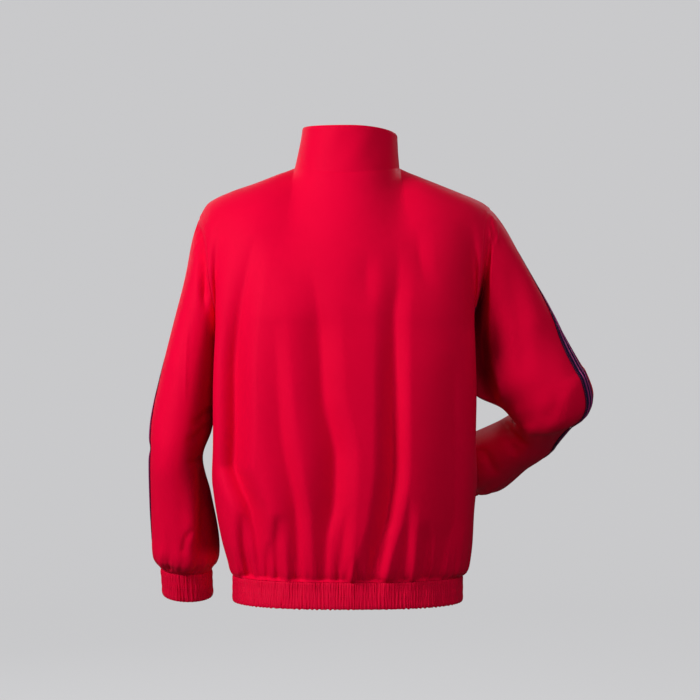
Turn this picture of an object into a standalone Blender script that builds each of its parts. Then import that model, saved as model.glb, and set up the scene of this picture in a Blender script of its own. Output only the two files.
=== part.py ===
"""A zip-up windbreaker in the hollow form that it has when it is worn.

It is cut as a back, two fronts, two set-in sleeves with a tape down each, a stand collar, an elasticated hem
band and two elasticated cuffs, and it closes with a zip. Each cloth piece is a lofted open surface with a
Solidify modifier, and the surfaces stop just short of each other along the seams.

Frame: metres, +Z up. The front faces -Y and the wearer's left is +X. The origin is the middle of the neck's
base, level with the points where the shoulder seams meet the collar. "share" values run from 0 to 1.
"""

import math
from collections import namedtuple

import bmesh
import bpy
import numpy as np
from mathutils import Matrix, Vector

MM = 0.001

# Walls and gaps
CLOTH = 1.5 * MM
BAND_CLOTH = 2.2 * MM
COLLAR_CLOTH = 2.4 * MM
TAPE_CLOTH = 1.0 * MM
SEAM_GAP = 0.3 * MM
ARMHOLE_INSET = 0.4 * MM
SHOULDER_INSET = 0.6 * MM

# Torso
SQUARENESS = 2.5
UNDERARM = -0.245
HEM_SEAM = -0.636
HEM = -0.677
QUARTER = 0.287
PRESS_REACH = 0.055
SHOULDER_Y = -0.010
NECK_SHARE = 0.40
NECK_MIDDLE = 0.003
NECK_HALF = 0.083
NECK_BACK = 0.075
NECK_FRONT = -0.088
NECK_BACK_HEIGHT = -0.010
NECK_FRONT_HEIGHT = -0.072

# Collar
COLLAR_MIDDLE = -0.0040
COLLAR_HALF = 0.0725
COLLAR_BACK = 0.067
COLLAR_FRONT = -0.083
COLLAR_TOP_BACK = 0.0635
COLLAR_TOP_LEFT = 0.0675
COLLAR_TOP_RIGHT = 0.0560
COLLAR_TOP_FRONT = -0.004

# Zip
ZIP_WIDTH = 11.4 * MM
ZIP_DEPTH = 2.0 * MM
ZIP_HALF = ZIP_WIDTH / 2 + SEAM_GAP
SLIDER_WIDTH = 9.0 * MM
SLIDER_LENGTH = 13.0 * MM
SLIDER_DEPTH = 1.8 * MM
SLIDER_TOP_DROP = 4.0 * MM
BRIDGE_WIRE = 0.9 * MM
BRIDGE_REACH = 4.0 * MM
BRIDGE_HALF = 4.6 * MM
PULL_WIDTH = 7.0 * MM
PULL_LENGTH = 24.0 * MM
PULL_DEPTH = 1.3 * MM
PULL_BAR = 1.3 * MM
PULL_WINDOW_WIDTH = 3.4 * MM
PULL_WINDOW_LENGTH = 5.2 * MM

# Gathers and counts
BAND_WAVES = 92
CUFF_WAVES = 26
WAVE_RISE = 0.9 * MM
TAPE_WIDTH = 27 * MM
TAPE_END = 1.5 * MM
UPPER_ROWS = 9
SLEEVE_COLUMNS = 2 * UPPER_ROWS

# Sections of the torso, from the hem band's seam up to the underarm. press is how far the arms dent the sides.
Section = namedtuple("Section", "height left right back front press")
TORSO = (
    Section(HEM_SEAM, 0.1835, 0.1795, 0.1215, 0.1235, 0.00),
    Section(-0.629, 0.1870, 0.1870, 0.1285, 0.1290, 0.00),
    Section(-0.615, 0.1905, 0.1905, 0.1330, 0.1325, 0.00),
    Section(-0.584, 0.1995, 0.1945, 0.1375, 0.1360, 0.00),
    Section(-0.540, 0.2085, 0.1970, 0.1405, 0.1385, 0.00),
    Section(-0.499, 0.2145, 0.2010, 0.1420, 0.1400, 0.00),
    Section(-0.420, 0.2245, 0.2095, 0.1430, 0.1410, 0.07),
    Section(-0.330, 0.2290, 0.2150, 0.1420, 0.1410, 0.12),
    Section(UNDERARM, 0.2275, 0.2140, 0.1370, 0.1370, 0.14),
)
LOWER_HEIGHTS = (HEM_SEAM, -0.630, -0.620, -0.605, -0.584, -0.556, -0.522, -0.482, -0.440, -0.393, -0.343,
                 -0.293)

# Shoulder seam from the neck (share 0) to the shoulder point (share 1).
Shoulder = namedtuple("Shoulder", "share left_x left_z right_x right_z")
SHOULDER = (
    Shoulder(0.00, 0.0860, 0.0040, 0.0800, 0.0040),
    Shoulder(0.15, 0.1080, -0.0045, 0.1040, -0.0070),
    Shoulder(0.40, 0.1470, -0.0200, 0.1410, -0.0220),
    Shoulder(0.65, 0.1860, -0.0335, 0.1760, -0.0360),
    Shoulder(0.88, 0.2225, -0.0510, 0.2085, -0.0490),
    Shoulder(1.00, 0.2380, -0.0750, 0.2245, -0.0600),
)

# Long soft folds of the back and fronts. at is the distance round from the middle of the panel, towards the
# wearer's left, at the fold's top and foot. A negative depth stands out.
Fold = namedtuple("Fold", "top top_at foot foot_at width depth")
BACK_FOLDS = (
    Fold(-0.150, 0.156, -0.630, 0.146, 0.016, 0.0075),
    Fold(-0.200, 0.116, -0.630, 0.071, 0.020, 0.0106),
    Fold(-0.140, 0.054, -0.630, 0.022, 0.026, 0.0137),
    Fold(-0.090, -0.088, -0.630, -0.050, 0.024, 0.0119),
    Fold(-0.180, -0.176, -0.630, -0.146, 0.020, 0.0088),
    Fold(-0.400, 0.215, -0.630, 0.205, 0.016, 0.0056),
    Fold(-0.360, -0.020, -0.630, -0.012, 0.014, 0.0050),
    Fold(-0.420, -0.112, -0.630, -0.100, 0.014, 0.0056),
    Fold(-0.380, -0.225, -0.630, -0.215, 0.016, 0.0050),
)
FRONT_FOLDS = (
    Fold(-0.160, 0.066, -0.630, 0.052, 0.022, 0.0096),
    Fold(-0.240, 0.124, -0.630, 0.108, 0.018, 0.0078),
    Fold(-0.130, 0.178, -0.630, 0.168, 0.020, 0.0072),
    Fold(-0.180, -0.058, -0.630, -0.046, 0.020, 0.0090),
    Fold(-0.140, -0.118, -0.630, -0.098, 0.022, 0.0096),
    Fold(-0.300, -0.182, -0.630, -0.170, 0.018, 0.0066),
)

# Gathers above the hem band: where each trough lies, how high it reaches and how deep it is.
Gather = namedtuple("Gather", "at rise depth")
BACK_GATHERS = (
    Gather(-0.268, 0.040, 0.0029), Gather(-0.243, 0.055, 0.0038), Gather(-0.220, 0.050, 0.0035),
    Gather(-0.196, 0.065, 0.0043), Gather(-0.172, 0.070, 0.0049), Gather(-0.150, 0.085, 0.0061),
    Gather(-0.137, 0.060, 0.0052), Gather(-0.116, 0.100, 0.0075), Gather(-0.084, 0.095, 0.0081),
    Gather(-0.047, 0.080, 0.0064), Gather(-0.030, 0.110, 0.0078), Gather(0.002, 0.075, 0.0067),
    Gather(0.018, 0.095, 0.0075), Gather(0.039, 0.080, 0.0064), Gather(0.071, 0.110, 0.0084),
    Gather(0.101, 0.090, 0.0075), Gather(0.126, 0.075, 0.0064), Gather(0.141, 0.085, 0.0067),
    Gather(0.160, 0.070, 0.0061), Gather(0.184, 0.060, 0.0049), Gather(0.207, 0.065, 0.0049),
    Gather(0.231, 0.050, 0.0038), Gather(0.255, 0.045, 0.0035), Gather(0.273, 0.040, 0.0026),
)
FRONT_GATHERS = (
    Gather(0.028, 0.050, 0.0038), Gather(0.052, 0.090, 0.0070), Gather(0.079, 0.070, 0.0058),
    Gather(0.107, 0.095, 0.0075), Gather(0.131, 0.060, 0.0052), Gather(0.160, 0.085, 0.0064),
    Gather(0.188, 0.060, 0.0049), Gather(0.213, 0.065, 0.0046), Gather(0.240, 0.050, 0.0038),
    Gather(0.265, 0.040, 0.0029),
)

# Rings of the sleeves. x is outwards from the middle, lean is the upward tilt of the ring's outer side in
# degrees, tape is where the tape's back edge lies, in degrees from the outer side towards the back.
Station = namedtuple("Station", "x y z wide deep lean tape rows")
LEFT_ARM = (
    Station(0.2349, 0.000, -0.2430, 0.0505, 0.0560, 50, -7, 4),
    Station(0.2505, -0.002, -0.3250, 0.0465, 0.0610, 21, 2, 3),
    Station(0.2640, -0.004, -0.4000, 0.0480, 0.0620, 10, 12, 3),
    Station(0.2730, -0.006, -0.4550, 0.0415, 0.0590, 0, 16, 2),
    Station(0.2675, -0.022, -0.5170, 0.0480, 0.0580, -4, 12, 2),
    Station(0.2625, -0.037, -0.5750, 0.0530, 0.0580, 0, 2, 2),
    Station(0.2625, -0.046, -0.6130, 0.0520, 0.0540, 2, -6, 2),
    Station(0.2615, -0.050, -0.6340, 0.0412, 0.0360, 2, -10, 2),
)
LEFT_CUFF_END = Station(0.2600, -0.0610, -0.6780, 0.0408, 0.0355, 2, -10, 1)
RIGHT_UPPER_ARM = (
    Station(0.2365, 0.000, -0.2100, 0.0720, 0.0570, 52, -10, 4),
    Station(0.2600, 0.000, -0.2590, 0.0690, 0.0620, 35, 14, 2),
    Station(0.2715, 0.000, -0.3110, 0.0840, 0.0655, 29, 30, 2),
    Station(0.3045, 0.000, -0.3420, 0.0715, 0.0660, 29, 38, 2),
)

# The bent right elbow: how far it has turned about its inner crease, the sleeve's size there, and the tape's
# back edge, in degrees as above.
ELBOW_CREASE = 2.0 * MM
FOREARM = Vector((0.60, -0.655, -0.455)).normalized()
Bend = namedtuple("Bend", "turned across deep tape rows")
ELBOW = (
    Bend(0.15, 0.142, 0.066, 44, 1),
    Bend(0.30, 0.136, 0.066, 50, 1),
    Bend(0.40, 0.124, 0.064, 54, 1),
    Bend(0.50, 0.101, 0.060, 56, 1),
    Bend(0.70, 0.085, 0.055, 52, 1),
    Bend(1.00, 0.086, 0.051, 42, 1),
)
Forearm = namedtuple("Forearm", "along across deep tape rows")
RIGHT_FOREARM = (
    Forearm(0.055, 0.091, 0.051, 34, 2),
    Forearm(0.110, 0.104, 0.052, 29, 2),
    Forearm(0.138, 0.097, 0.048, 27, 1),
    Forearm(0.162, 0.0780, 0.0350, 26, 1),
)
CUFF_LENGTH = 0.044

Finish = namedtuple("Finish", "colour roughness metallic")
RED = Finish((0.62, 0.005, 0.030), 0.50, 0.0)
NAVY = Finish((0.010, 0.010, 0.045), 0.55, 0.0)
ZIP_RED = Finish((0.45, 0.004, 0.022), 0.45, 0.0)
METAL = Finish((0.55, 0.55, 0.57), 0.30, 1.0)


# ---------------------------------------------------------------- curves and surfaces


def ease(share):
    """A soft step from 0 to 1."""
    share = np.clip(share, 0.0, 1.0)
    return share * share * (3.0 - 2.0 * share)


def column(rows, name):
    return np.array([getattr(row, name) for row in rows], float)


def hermite(share, start, start_slope, end, end_slope):
    """A cubic from start to end that leaves and arrives along the two slopes."""
    left = 1.0 - share
    return (
        (1.0 + 2.0 * share) * left**2 * start
        + share * left**2 * start_slope
        + share**2 * (3.0 - 2.0 * share) * end
        - share**2 * left * end_slope
    )


def flow(places, values, at):
    """A smooth curve through the values that makes no bumps of its own, read at each place in at."""
    order = np.argsort(places)
    places, values, at = np.asarray(places)[order], np.asarray(values)[order], np.asarray(at, float)
    step = np.diff(places)
    rise = np.diff(values) / step
    slope = np.concatenate([rise[:1], np.zeros(len(rise) - 1), rise[-1:]])
    same_way = rise[:-1] * rise[1:] > 0.0
    total = np.where(same_way, rise[:-1] + rise[1:], 1.0)
    slope[1:-1] = np.where(same_way, 2.0 * rise[:-1] * rise[1:] / total, 0.0)
    span = np.clip(np.searchsorted(places, at, side="right") - 1, 0, len(step) - 1)
    share = np.clip((at - places[span]) / step[span], 0.0, 1.0)
    return hermite(
        share, values[span], step[span] * slope[span], values[span + 1], step[span] * slope[span + 1]
    )


def spline(knots, points, at, first_slope):
    """A curve through a stack of point rows, sampled at each value in at."""
    slopes = np.empty_like(points)
    reach = (knots[2:] - knots[:-2]).reshape(-1, 1, 1)
    slopes[1:-1] = (points[2:] - points[:-2]) / reach
    slopes[0] = first_slope
    slopes[-1] = (points[-1] - points[-2]) / (knots[-1] - knots[-2])
    sampled = []
    for place in at:
        span = min(max(int(np.searchsorted(knots, place, side="right")) - 1, 0), len(knots) - 2)
        step = knots[span + 1] - knots[span]
        sampled.append(
            hermite(
                (place - knots[span]) / step,
                points[span],
                step * slopes[span],
                points[span + 1],
                step * slopes[span + 1],
            )
        )
    return np.array(sampled)


def unit(vectors):
    vectors = np.asarray(vectors, float)
    return vectors / np.linalg.norm(vectors, axis=-1, keepdims=True)


def normals(grid, flip, ring=False):
    """The unit normal at each point of a grid of rows."""
    if ring:
        across = np.roll(grid, -1, axis=1) - np.roll(grid, 1, axis=1)
    else:
        across = np.gradient(grid, axis=1)
    return unit(np.cross(across, np.gradient(grid, axis=0))) * (-1.0 if flip else 1.0)


def draw_in(grid, first_row=0.0, last_row=0.0, first_column=0.0, last_column=0.0):
    """Moves a grid's borders towards its middle, which opens the gap at its seams."""
    moved = grid.copy()
    if first_row:
        moved[0] += unit(grid[1] - grid[0]) * first_row
    if last_row:
        moved[-1] += unit(grid[-2] - grid[-1]) * last_row
    if first_column:
        moved[:, 0] += unit(grid[:, 1] - grid[:, 0]) * first_column
    if last_column:
        moved[:, -1] += unit(grid[:, -2] - grid[:, -1]) * last_column
    return moved


# ---------------------------------------------------------------- torso


def quadrant_turns():
    """The angle from the side for each share of the way from the middle of a panel to its side."""
    turn = np.linspace(0.0, math.pi / 2, 721)
    power = 2.0 / SQUARENESS
    x, y = 0.21 * np.cos(turn) ** power, 0.14 * np.sin(turn) ** power
    walked = np.concatenate([[0.0], np.cumsum(np.hypot(np.diff(x), np.diff(y)))])
    return turn, walked / walked[-1]


TURNS, WALKED = quadrant_turns()


def torso_points(side, face, share, height):
    """Points of the torso. side is +1 on the wearer's left, face +1 on the back, share 0 mid panel, 1 at the side."""
    turn = np.interp(1.0 - share, WALKED, TURNS)
    heights = column(TORSO, "height")
    half = np.where(
        side > 0,
        flow(heights, column(TORSO, "left"), height),
        flow(heights, column(TORSO, "right"), height),
    )
    deep = flow(heights, column(TORSO, "back" if face > 0 else "front"), height)
    power = 2.0 / SQUARENESS
    y = face * deep * np.sin(turn) ** power
    press = flow(heights, column(TORSO, "press"), height)
    x = side * half * np.cos(turn) ** power * (1.0 - press * np.exp(-((y / PRESS_REACH) ** 2)))
    return np.stack([x, y, height + 0.0 * x], axis=-1)


def top_line(side, face, share):
    """The line where a panel ends at the top: half of the neckline, then the shoulder seam."""
    turn = np.clip(share / NECK_SHARE, 0.0, 1.0) * math.pi / 2
    deep = NECK_BACK if face > 0 else NECK_FRONT
    low = NECK_BACK_HEIGHT if face > 0 else NECK_FRONT_HEIGHT
    neck_height = SHOULDER[0].left_z + (low - SHOULDER[0].left_z) * np.cos(turn) ** 1.5
    neck = np.stack(
        [
            NECK_MIDDLE * np.sin(turn) + side * NECK_HALF * np.sin(turn),
            SHOULDER_Y + (deep - SHOULDER_Y) * np.cos(turn),
            neck_height,
        ],
        axis=-1,
    )
    along = np.clip((share - NECK_SHARE) / (1.0 - NECK_SHARE), 0.0, 1.0)
    shares = column(SHOULDER, "share")
    name = "left" if side > 0 else "right"
    seam = np.stack(
        [
            side * flow(shares, column(SHOULDER, name + "_x"), along),
            SHOULDER_Y + 0.0 * along,
            flow(shares, column(SHOULDER, name + "_z"), along),
        ],
        axis=-1,
    )
    return np.where((share < NECK_SHARE)[..., None], neck, seam)


def upper_points(side, face, share, climb):
    """Points between the underarm's height (climb 0) and the top line (climb 1), for one side of a panel."""
    start = torso_points(side, face, share, UNDERARM)
    end = top_line(side, face, share)
    armhole = (ease((share - 0.70) / 0.30) ** 2)[..., None]
    shoulder = ease((share - 0.55 * NECK_SHARE) / (0.75 * NECK_SHARE))[..., None]
    rise = np.array([0.0, 0.0, 0.27])
    round_arm = np.array([0.070 * side, face * 0.270, 0.020])
    start_slope = rise + (round_arm - rise) * armhole
    to_neck = np.array([0.0, -face * 0.11, 0.17])
    over_shoulder = np.array([0.0, -face * 0.29, 0.0])
    into_point = np.array([side * 0.050, -face * 0.230, 0.020])
    end_slope = to_neck + (over_shoulder - to_neck) * shoulder
    end_slope = end_slope + (into_point - end_slope) * armhole
    return hermite(climb, start, start_slope, end, end_slope)


def fold_depth(folds, gathers, at, height, seam):
    """How far inwards the folds draw a panel at each point. seam is the distance from its side seam."""
    total = np.zeros_like(at)
    for fold in folds:
        down = np.clip((fold.top - height) / (fold.top - fold.foot), 0.0, 1.0)
        line = fold.top_at + (fold.foot_at - fold.top_at) * down
        total += fold.depth * ease(down / 0.55) * np.exp(-(((at - line) / fold.width) ** 2))
    places = column(gathers, "at")
    for gather, gap in zip(gathers, np.gradient(places)):
        up = np.clip((height - HEM_SEAM) / gather.rise, 0.0, 1.0)
        width = 0.36 * abs(gap)
        total += gather.depth * (1.0 - ease(up)) * np.exp(-(((at - gather.at) / width) ** 2))
    total = total * ease((height - HEM_SEAM) / 0.016)
    return total * (1.0 - np.exp(-((seam / 0.014) ** 2)))


def half_panel(side, face, shares, folds, gathers):
    """One side of a panel as rows from the hem seam up to the top line, with its folds."""
    lower = [torso_points(side, face, shares, height) for height in LOWER_HEIGHTS]
    upper = [upper_points(side, face, shares, climb) for climb in np.linspace(0.0, 1.0, UPPER_ROWS + 1)]
    grid = np.array(lower + upper)
    depth = fold_depth(
        folds, gathers, side * shares * QUARTER + 0.0 * grid[..., 2], grid[..., 2], (1.0 - shares) * QUARTER
    )
    free = np.ones(len(grid))
    free[-UPPER_ROWS:] = 1.0 - ease(np.linspace(1, UPPER_ROWS, UPPER_ROWS) / UPPER_ROWS)
    outwards = normals(grid, flip=side * face > 0)
    return grid - outwards * (depth * free[:, None])[..., None]


def gather_shares(gathers, side):
    """Column places that fall on every trough and on the crest between two troughs, from 0 to 1."""
    troughs = sorted(side * gather.at / QUARTER for gather in gathers if side * gather.at > 0.0)
    edges = [0.0] + troughs + [1.0]
    crests = [(a + b) / 2 for a, b in zip(edges[:-1], edges[1:])]
    return np.array(sorted(set(edges + crests)))


def back_panel():
    """The back: its right half joined to its left half at the middle."""
    left = half_panel(1, 1, gather_shares(BACK_GATHERS, 1), BACK_FOLDS, BACK_GATHERS)
    right = half_panel(-1, 1, gather_shares(BACK_GATHERS, -1), BACK_FOLDS, BACK_GATHERS)
    return np.concatenate([right[:, :0:-1], left], axis=1)


def front_panel(side):
    """One front, from the zip to the side seam. Its front edge stands clear of the zip."""
    mirrored = [gather._replace(at=side * gather.at) for gather in FRONT_GATHERS]
    grid = half_panel(side, -1, gather_shares(mirrored, side), FRONT_FOLDS, mirrored)
    shares = gather_shares(mirrored, side)
    grid[..., 0] += side * ZIP_HALF * (1.0 - ease(shares / 0.12))
    return grid


# ---------------------------------------------------------------- sleeves


def armhole_places(front_edge):
    """Where the sleeve's columns meet the front's edge, as shares of its rows. The last two are the tape's."""
    walked = np.concatenate([[0.0], np.cumsum(np.linalg.norm(np.diff(front_edge, axis=0), axis=1))])
    below_tape = (walked[-1] - TAPE_WIDTH) * np.arange(1, UPPER_ROWS - 1) / (UPPER_ROWS - 2)
    places = np.append(below_tape, walked[-1] - TAPE_WIDTH / 2)
    return np.interp(places, walked, np.arange(UPPER_ROWS + 1))


def between_rows(rows, places):
    return np.stack([np.interp(places, np.arange(len(rows)), rows[:, n]) for n in range(3)], axis=-1)


def armhole_loop(side, back, front):
    """The armhole's points: the shoulder point, down the back, the underarm and up the front."""
    back_edge = back[-(UPPER_ROWS + 1):, -1 if side > 0 else 0]
    front_edge = front[-(UPPER_ROWS + 1):, -1]
    return np.concatenate([back_edge[::-1], between_rows(front_edge, armhole_places(front_edge))])


def armhole_directions(side, back, front):
    """The way that the torso's cloth runs where it reaches each point of the armhole."""
    back_edge = back[-(UPPER_ROWS + 1):, -1 if side > 0 else 0]
    back_inner = back[-(UPPER_ROWS + 1):, -4 if side > 0 else 3]
    front_edge = front[-(UPPER_ROWS + 1):, -1]
    front_inner = front[-(UPPER_ROWS + 1):, -4]
    front_way = between_rows(unit(front_edge - front_inner), armhole_places(front_edge))
    return np.concatenate([unit(back_edge - back_inner)[::-1], front_way])


def column_angles(size, tape):
    """Angles of a ring's columns. The first is the tape's back edge, the last two its middle and front edge."""
    tape_turn = TAPE_WIDTH / size
    first = math.radians(tape)
    spread = first + np.arange(SLEEVE_COLUMNS - 1) * (2 * math.pi - tape_turn) / (SLEEVE_COLUMNS - 2)
    return np.append(spread, first - tape_turn / 2)


def ring_points(centre, out, back, wide, deep, tape, turned=0.0):
    """A sleeve's ring. out and back are its unit directions, and turned is the angle from the outer side to out."""
    angle = column_angles((wide + deep) / 2, tape) - turned
    return centre + wide * np.cos(angle)[:, None] * out + deep * np.sin(angle)[:, None] * back


def station_rings(stations, side, start):
    """Rings through a table of stations, square to the way that the arm runs, with their frames."""
    centres = [np.array([side * s.x, s.y, s.z]) for s in stations]
    path = [start] + centres
    rings = []
    for i, (station, centre) in enumerate(zip(stations, centres)):
        travel = (path[i + 2] if i + 2 < len(path) else centre) - path[i]
        lean = math.radians(station.lean)
        out = np.array([side * math.cos(lean), 0.0, math.sin(lean)])
        back = unit(np.cross(travel, out))
        back = back if back[1] > 0 else -back
        rings.append((centre, out, back, station.wide, station.deep, station.tape))
    return rings


def cuff_ring(station, side):
    """The frame of a cuff's lower edge."""
    return station_rings((station,), side, np.array([side * 0.2615, -0.050, -0.634]))[0]


def left_sleeve_rings(loop):
    return station_rings(LEFT_ARM, 1, loop.mean(axis=0))


def right_sleeve_rings(loop):
    """Rings down the right upper arm, fanned round the elbow's inner crease, and along the forearm."""
    upper = station_rings(RIGHT_UPPER_ARM, -1, loop.mean(axis=0))
    centre, out, back, wide = upper[-1][:4]
    travel = Vector(centre - upper[-2][0]).normalized()
    hinge = travel.cross(FOREARM).normalized()
    angle = travel.angle(FOREARM)
    outer = hinge.cross(travel).normalized()
    outer = outer if outer.dot(FOREARM) < 0 else -outer
    along_hinge = -hinge if hinge.y < 0 else hinge
    turned = math.atan2(outer.dot(Vector(back)), outer.dot(Vector(out)))
    pivot = Vector(centre) - outer * (wide + ELBOW_CREASE)
    rings = [ring + (0.0,) for ring in upper]
    for bend in ELBOW:
        spin = Matrix.Rotation(angle * bend.turned, 3, hinge)
        reach = spin @ outer
        middle = pivot + reach * (bend.across / 2 + ELBOW_CREASE)
        size = (bend.across / 2, bend.deep, bend.tape, turned)
        rings.append((np.array(middle), np.array(reach), np.array(along_hinge)) + size)
    for part in RIGHT_FOREARM:
        centre = pivot + reach * (ELBOW[-1].across / 2 + ELBOW_CREASE) + FOREARM * part.along
        size = (part.across / 2, part.deep, part.tape, turned)
        rings.append((np.array(centre), np.array(reach), np.array(along_hinge)) + size)
    return rings


def sleeve_grid(side, loop, directions, rings, spans):
    """Rows from the armhole to the cuff, through the armhole's loop and the rings."""
    stack = np.array([loop] + [ring_points(*ring) for ring in rings])
    centres = stack.mean(axis=1)
    knots = np.concatenate([[0.0], np.cumsum(np.linalg.norm(np.diff(centres, axis=0), axis=1))])
    around = np.minimum(np.arange(SLEEVE_COLUMNS), SLEEVE_COLUMNS - np.arange(SLEEVE_COLUMNS)) / UPPER_ROWS
    straight = (stack[1] - stack[0]) / (knots[1] - knots[0])
    follow = (0.75 * (1.0 - ease(around)))[:, None]
    pace = np.linalg.norm(straight, axis=1, keepdims=True)
    first_slope = (1.0 - follow) * straight + follow * directions * pace
    places = [knots[0]]
    for start, end, rows in zip(knots[:-1], knots[1:], spans):
        places += list(start + (end - start) * np.arange(1, rows + 1) / rows)
    return spline(knots, stack, places, first_slope)


def ruched_ring(ring_a, ring_b, waves, rise):
    """Two rows of a cuff, pleated into small waves."""
    angle = np.linspace(0.0, 2 * math.pi, 2 * waves, endpoint=False)
    wave = rise * np.where(np.arange(2 * waves) % 2 == 0, 1.0, -1.0)
    rows = []
    for centre, out, back, wide, deep in (ring_a, ring_b):
        across = (wide + wave) * np.cos(angle)
        rows.append(centre + across[:, None] * out + ((deep + wave) * np.sin(angle))[:, None] * back)
    return np.array(rows)


# ---------------------------------------------------------------- collar, hem band and zip


def collar_grid():
    """The stand collar, from the zip's right edge round the back of the neck to its left edge."""
    share = np.linspace(0.0, 1.0, 13)
    halves = []
    for side, top_side in ((-1, COLLAR_TOP_RIGHT), (1, COLLAR_TOP_LEFT)):
        pieces = []
        for face in (1, -1):
            base = top_line(side, face, share * NECK_SHARE)
            turn = share * math.pi / 2
            deep = COLLAR_BACK if face > 0 else COLLAR_FRONT
            top_middle = COLLAR_TOP_BACK if face > 0 else COLLAR_TOP_FRONT
            top = np.stack(
                [
                    COLLAR_MIDDLE * np.sin(turn) + side * COLLAR_HALF * np.sin(turn),
                    SHOULDER_Y + (deep - SHOULDER_Y) * np.cos(turn),
                    top_side + (top_middle - top_side) * np.cos(turn) ** 1.5,
                ],
                axis=-1,
            )
            if face < 0:
                clear = (side * ZIP_HALF * (1.0 - ease(share / 0.3)))[:, None] * np.array([1.0, 0.0, 0.0])
                base, top = base + clear, top + clear
            pieces.append((base, top))
        back, front = pieces
        halves.append([np.concatenate([a, b[-2::-1]]) for a, b in zip(back, front)])
    base, top = (np.concatenate([right[:0:-1], left]) for right, left in zip(halves[0], halves[1]))
    rows = []
    for climb in (0.0, 0.12, 0.40, 0.70, 1.0):
        rows.append(base + (top - base) * (climb + 0.35 * climb * (1.0 - climb)) * np.array([1.0, 1.0, 0.0]))
        rows[-1][:, 2] = base[:, 2] + (top[:, 2] - base[:, 2]) * climb
    grid = np.array(rows)
    grid[0, :, 2] += SEAM_GAP
    return grid


def band_grid():
    """The hem band, from the zip's right edge round the back to its left edge, pleated into small waves."""
    count = 2 * BAND_WAVES
    share = np.linspace(-1.0, 1.0, count + 1)
    side = np.where(share < 0, -1, 1)
    far = np.abs(share) * 2
    points = np.where(
        (far <= 1.0)[:, None],
        torso_points(side, 1, np.minimum(far, 1.0), HEM_SEAM),
        torso_points(side, -1, np.clip(2.0 - far, 0.0, 1.0), HEM_SEAM),
    )
    points[:, 0] += side * ZIP_HALF * (1.0 - ease((2.0 - far) / 0.10))
    across = unit(np.gradient(points, axis=0))
    outwards = np.stack([-across[:, 1], across[:, 0], 0.0 * share], axis=-1)
    strength = ease((2.0 - far) / 0.25) * (1.0 - 0.6 * np.exp(-(((far - 1.0) / 0.14) ** 2)))
    wave = WAVE_RISE * np.where(np.arange(count + 1) % 2 == 0, 1.0, -1.0) * strength
    points = points + outwards * wave[:, None]
    low, high = points.copy(), points.copy()
    low[:, 2], high[:, 2] = HEM, HEM_SEAM - SEAM_GAP
    return np.array([low, high])


def zip_path(front, collar, band):
    """The middle of the front, from the hem up to the collar's top edge."""
    edge = [band[0, -1], band[1, -1]] + list(front[1:-1, 0]) + list(collar[1:, -1])
    path = np.array(edge)
    path[:, 0] = 0.0
    return path


# ---------------------------------------------------------------- objects


def material(name, finish):
    made = bpy.data.materials.new(name)
    made.use_nodes = True
    shader = made.node_tree.nodes["Principled BSDF"]
    shader.inputs["Base Color"].default_value = (*finish.colour, 1.0)
    shader.inputs["Roughness"].default_value = finish.roughness
    shader.inputs["Metallic"].default_value = finish.metallic
    return made


def add_object(name, mesh, finish, collection):
    thing = bpy.data.objects.new(name, mesh)
    thing.data.materials.append(material(name, finish))
    collection.objects.link(thing)
    return thing


def cloth(name, grid, thickness, finish, collection, flip, ring=False):
    """A cloth piece: an open surface of triangles through the grid, given its wall on the inside."""
    rows, columns = grid.shape[:2]
    faces = []
    for i in range(rows - 1):
        for j in range(columns if ring else columns - 1):
            k = (j + 1) % columns
            a, b, c, d = i * columns + j, i * columns + k, (i + 1) * columns + k, (i + 1) * columns + j
            pair = [(a, b, c), (a, c, d)] if (i + j) % 2 else [(a, b, d), (b, c, d)]
            faces += [face[::-1] for face in pair] if flip else pair
    mesh = bpy.data.meshes.new(name)
    mesh.from_pydata(grid.reshape(-1, 3).tolist(), [], faces)
    mesh.shade_smooth()
    piece = add_object(name, mesh, finish, collection)
    wall = piece.modifiers.new("wall", "SOLIDIFY")
    wall.thickness = thickness
    wall.offset = -1.0
    wall.use_rim = True
    return piece


def box_mesh(name, size, centre):
    mesh = bpy.data.meshes.new(name)
    shape = bmesh.new()
    bmesh.ops.create_cube(shape, size=1.0)
    bmesh.ops.scale(shape, vec=size, verts=shape.verts)
    bmesh.ops.translate(shape, vec=centre, verts=shape.verts)
    shape.to_mesh(mesh)
    shape.free()
    return mesh


def round_edges(thing, width):
    bevel = thing.modifiers.new("rounded edges", "BEVEL")
    bevel.width = width
    bevel.segments = 2
    thing.data.set_sharp_from_angle(angle=math.radians(40))


def slider_bridge(at, helpers):
    """The slider's bridge, a bent wire that the pull hangs on, as a closed mesh."""
    curve = bpy.data.curves.new("zip_slider_bridge", "CURVE")
    curve.dimensions = "3D"
    curve.bevel_depth = BRIDGE_WIRE
    curve.bevel_resolution = 2
    curve.use_fill_caps = True
    line = curve.splines.new("POLY")
    count = 9
    line.points.add(count - 1)
    for i in range(count):
        turn = math.pi * i / (count - 1)
        out = -BRIDGE_REACH * math.sin(turn) ** 0.5
        line.points[i].co = (0.0, out, BRIDGE_HALF * math.cos(turn), 1.0)
    wire = bpy.data.objects.new("zip_slider_bridge_wire", curve)
    helpers.objects.link(wire)
    bpy.context.view_layer.update()
    mesh = bpy.data.meshes.new_from_object(wire.evaluated_get(bpy.context.evaluated_depsgraph_get()))
    shape = bmesh.new()
    shape.from_mesh(mesh)
    bmesh.ops.remove_doubles(shape, verts=shape.verts, dist=0.00001)
    bmesh.ops.recalc_face_normals(shape, faces=shape.faces)
    shape.to_mesh(mesh)
    shape.free()
    bridge = bpy.data.objects.new("zip_slider_bridge", mesh)
    bridge.location = at
    bridge.hide_render = True
    bridge.display_type = "WIRE"
    helpers.objects.link(bridge)
    bpy.data.objects.remove(wire)
    return bridge


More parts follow.
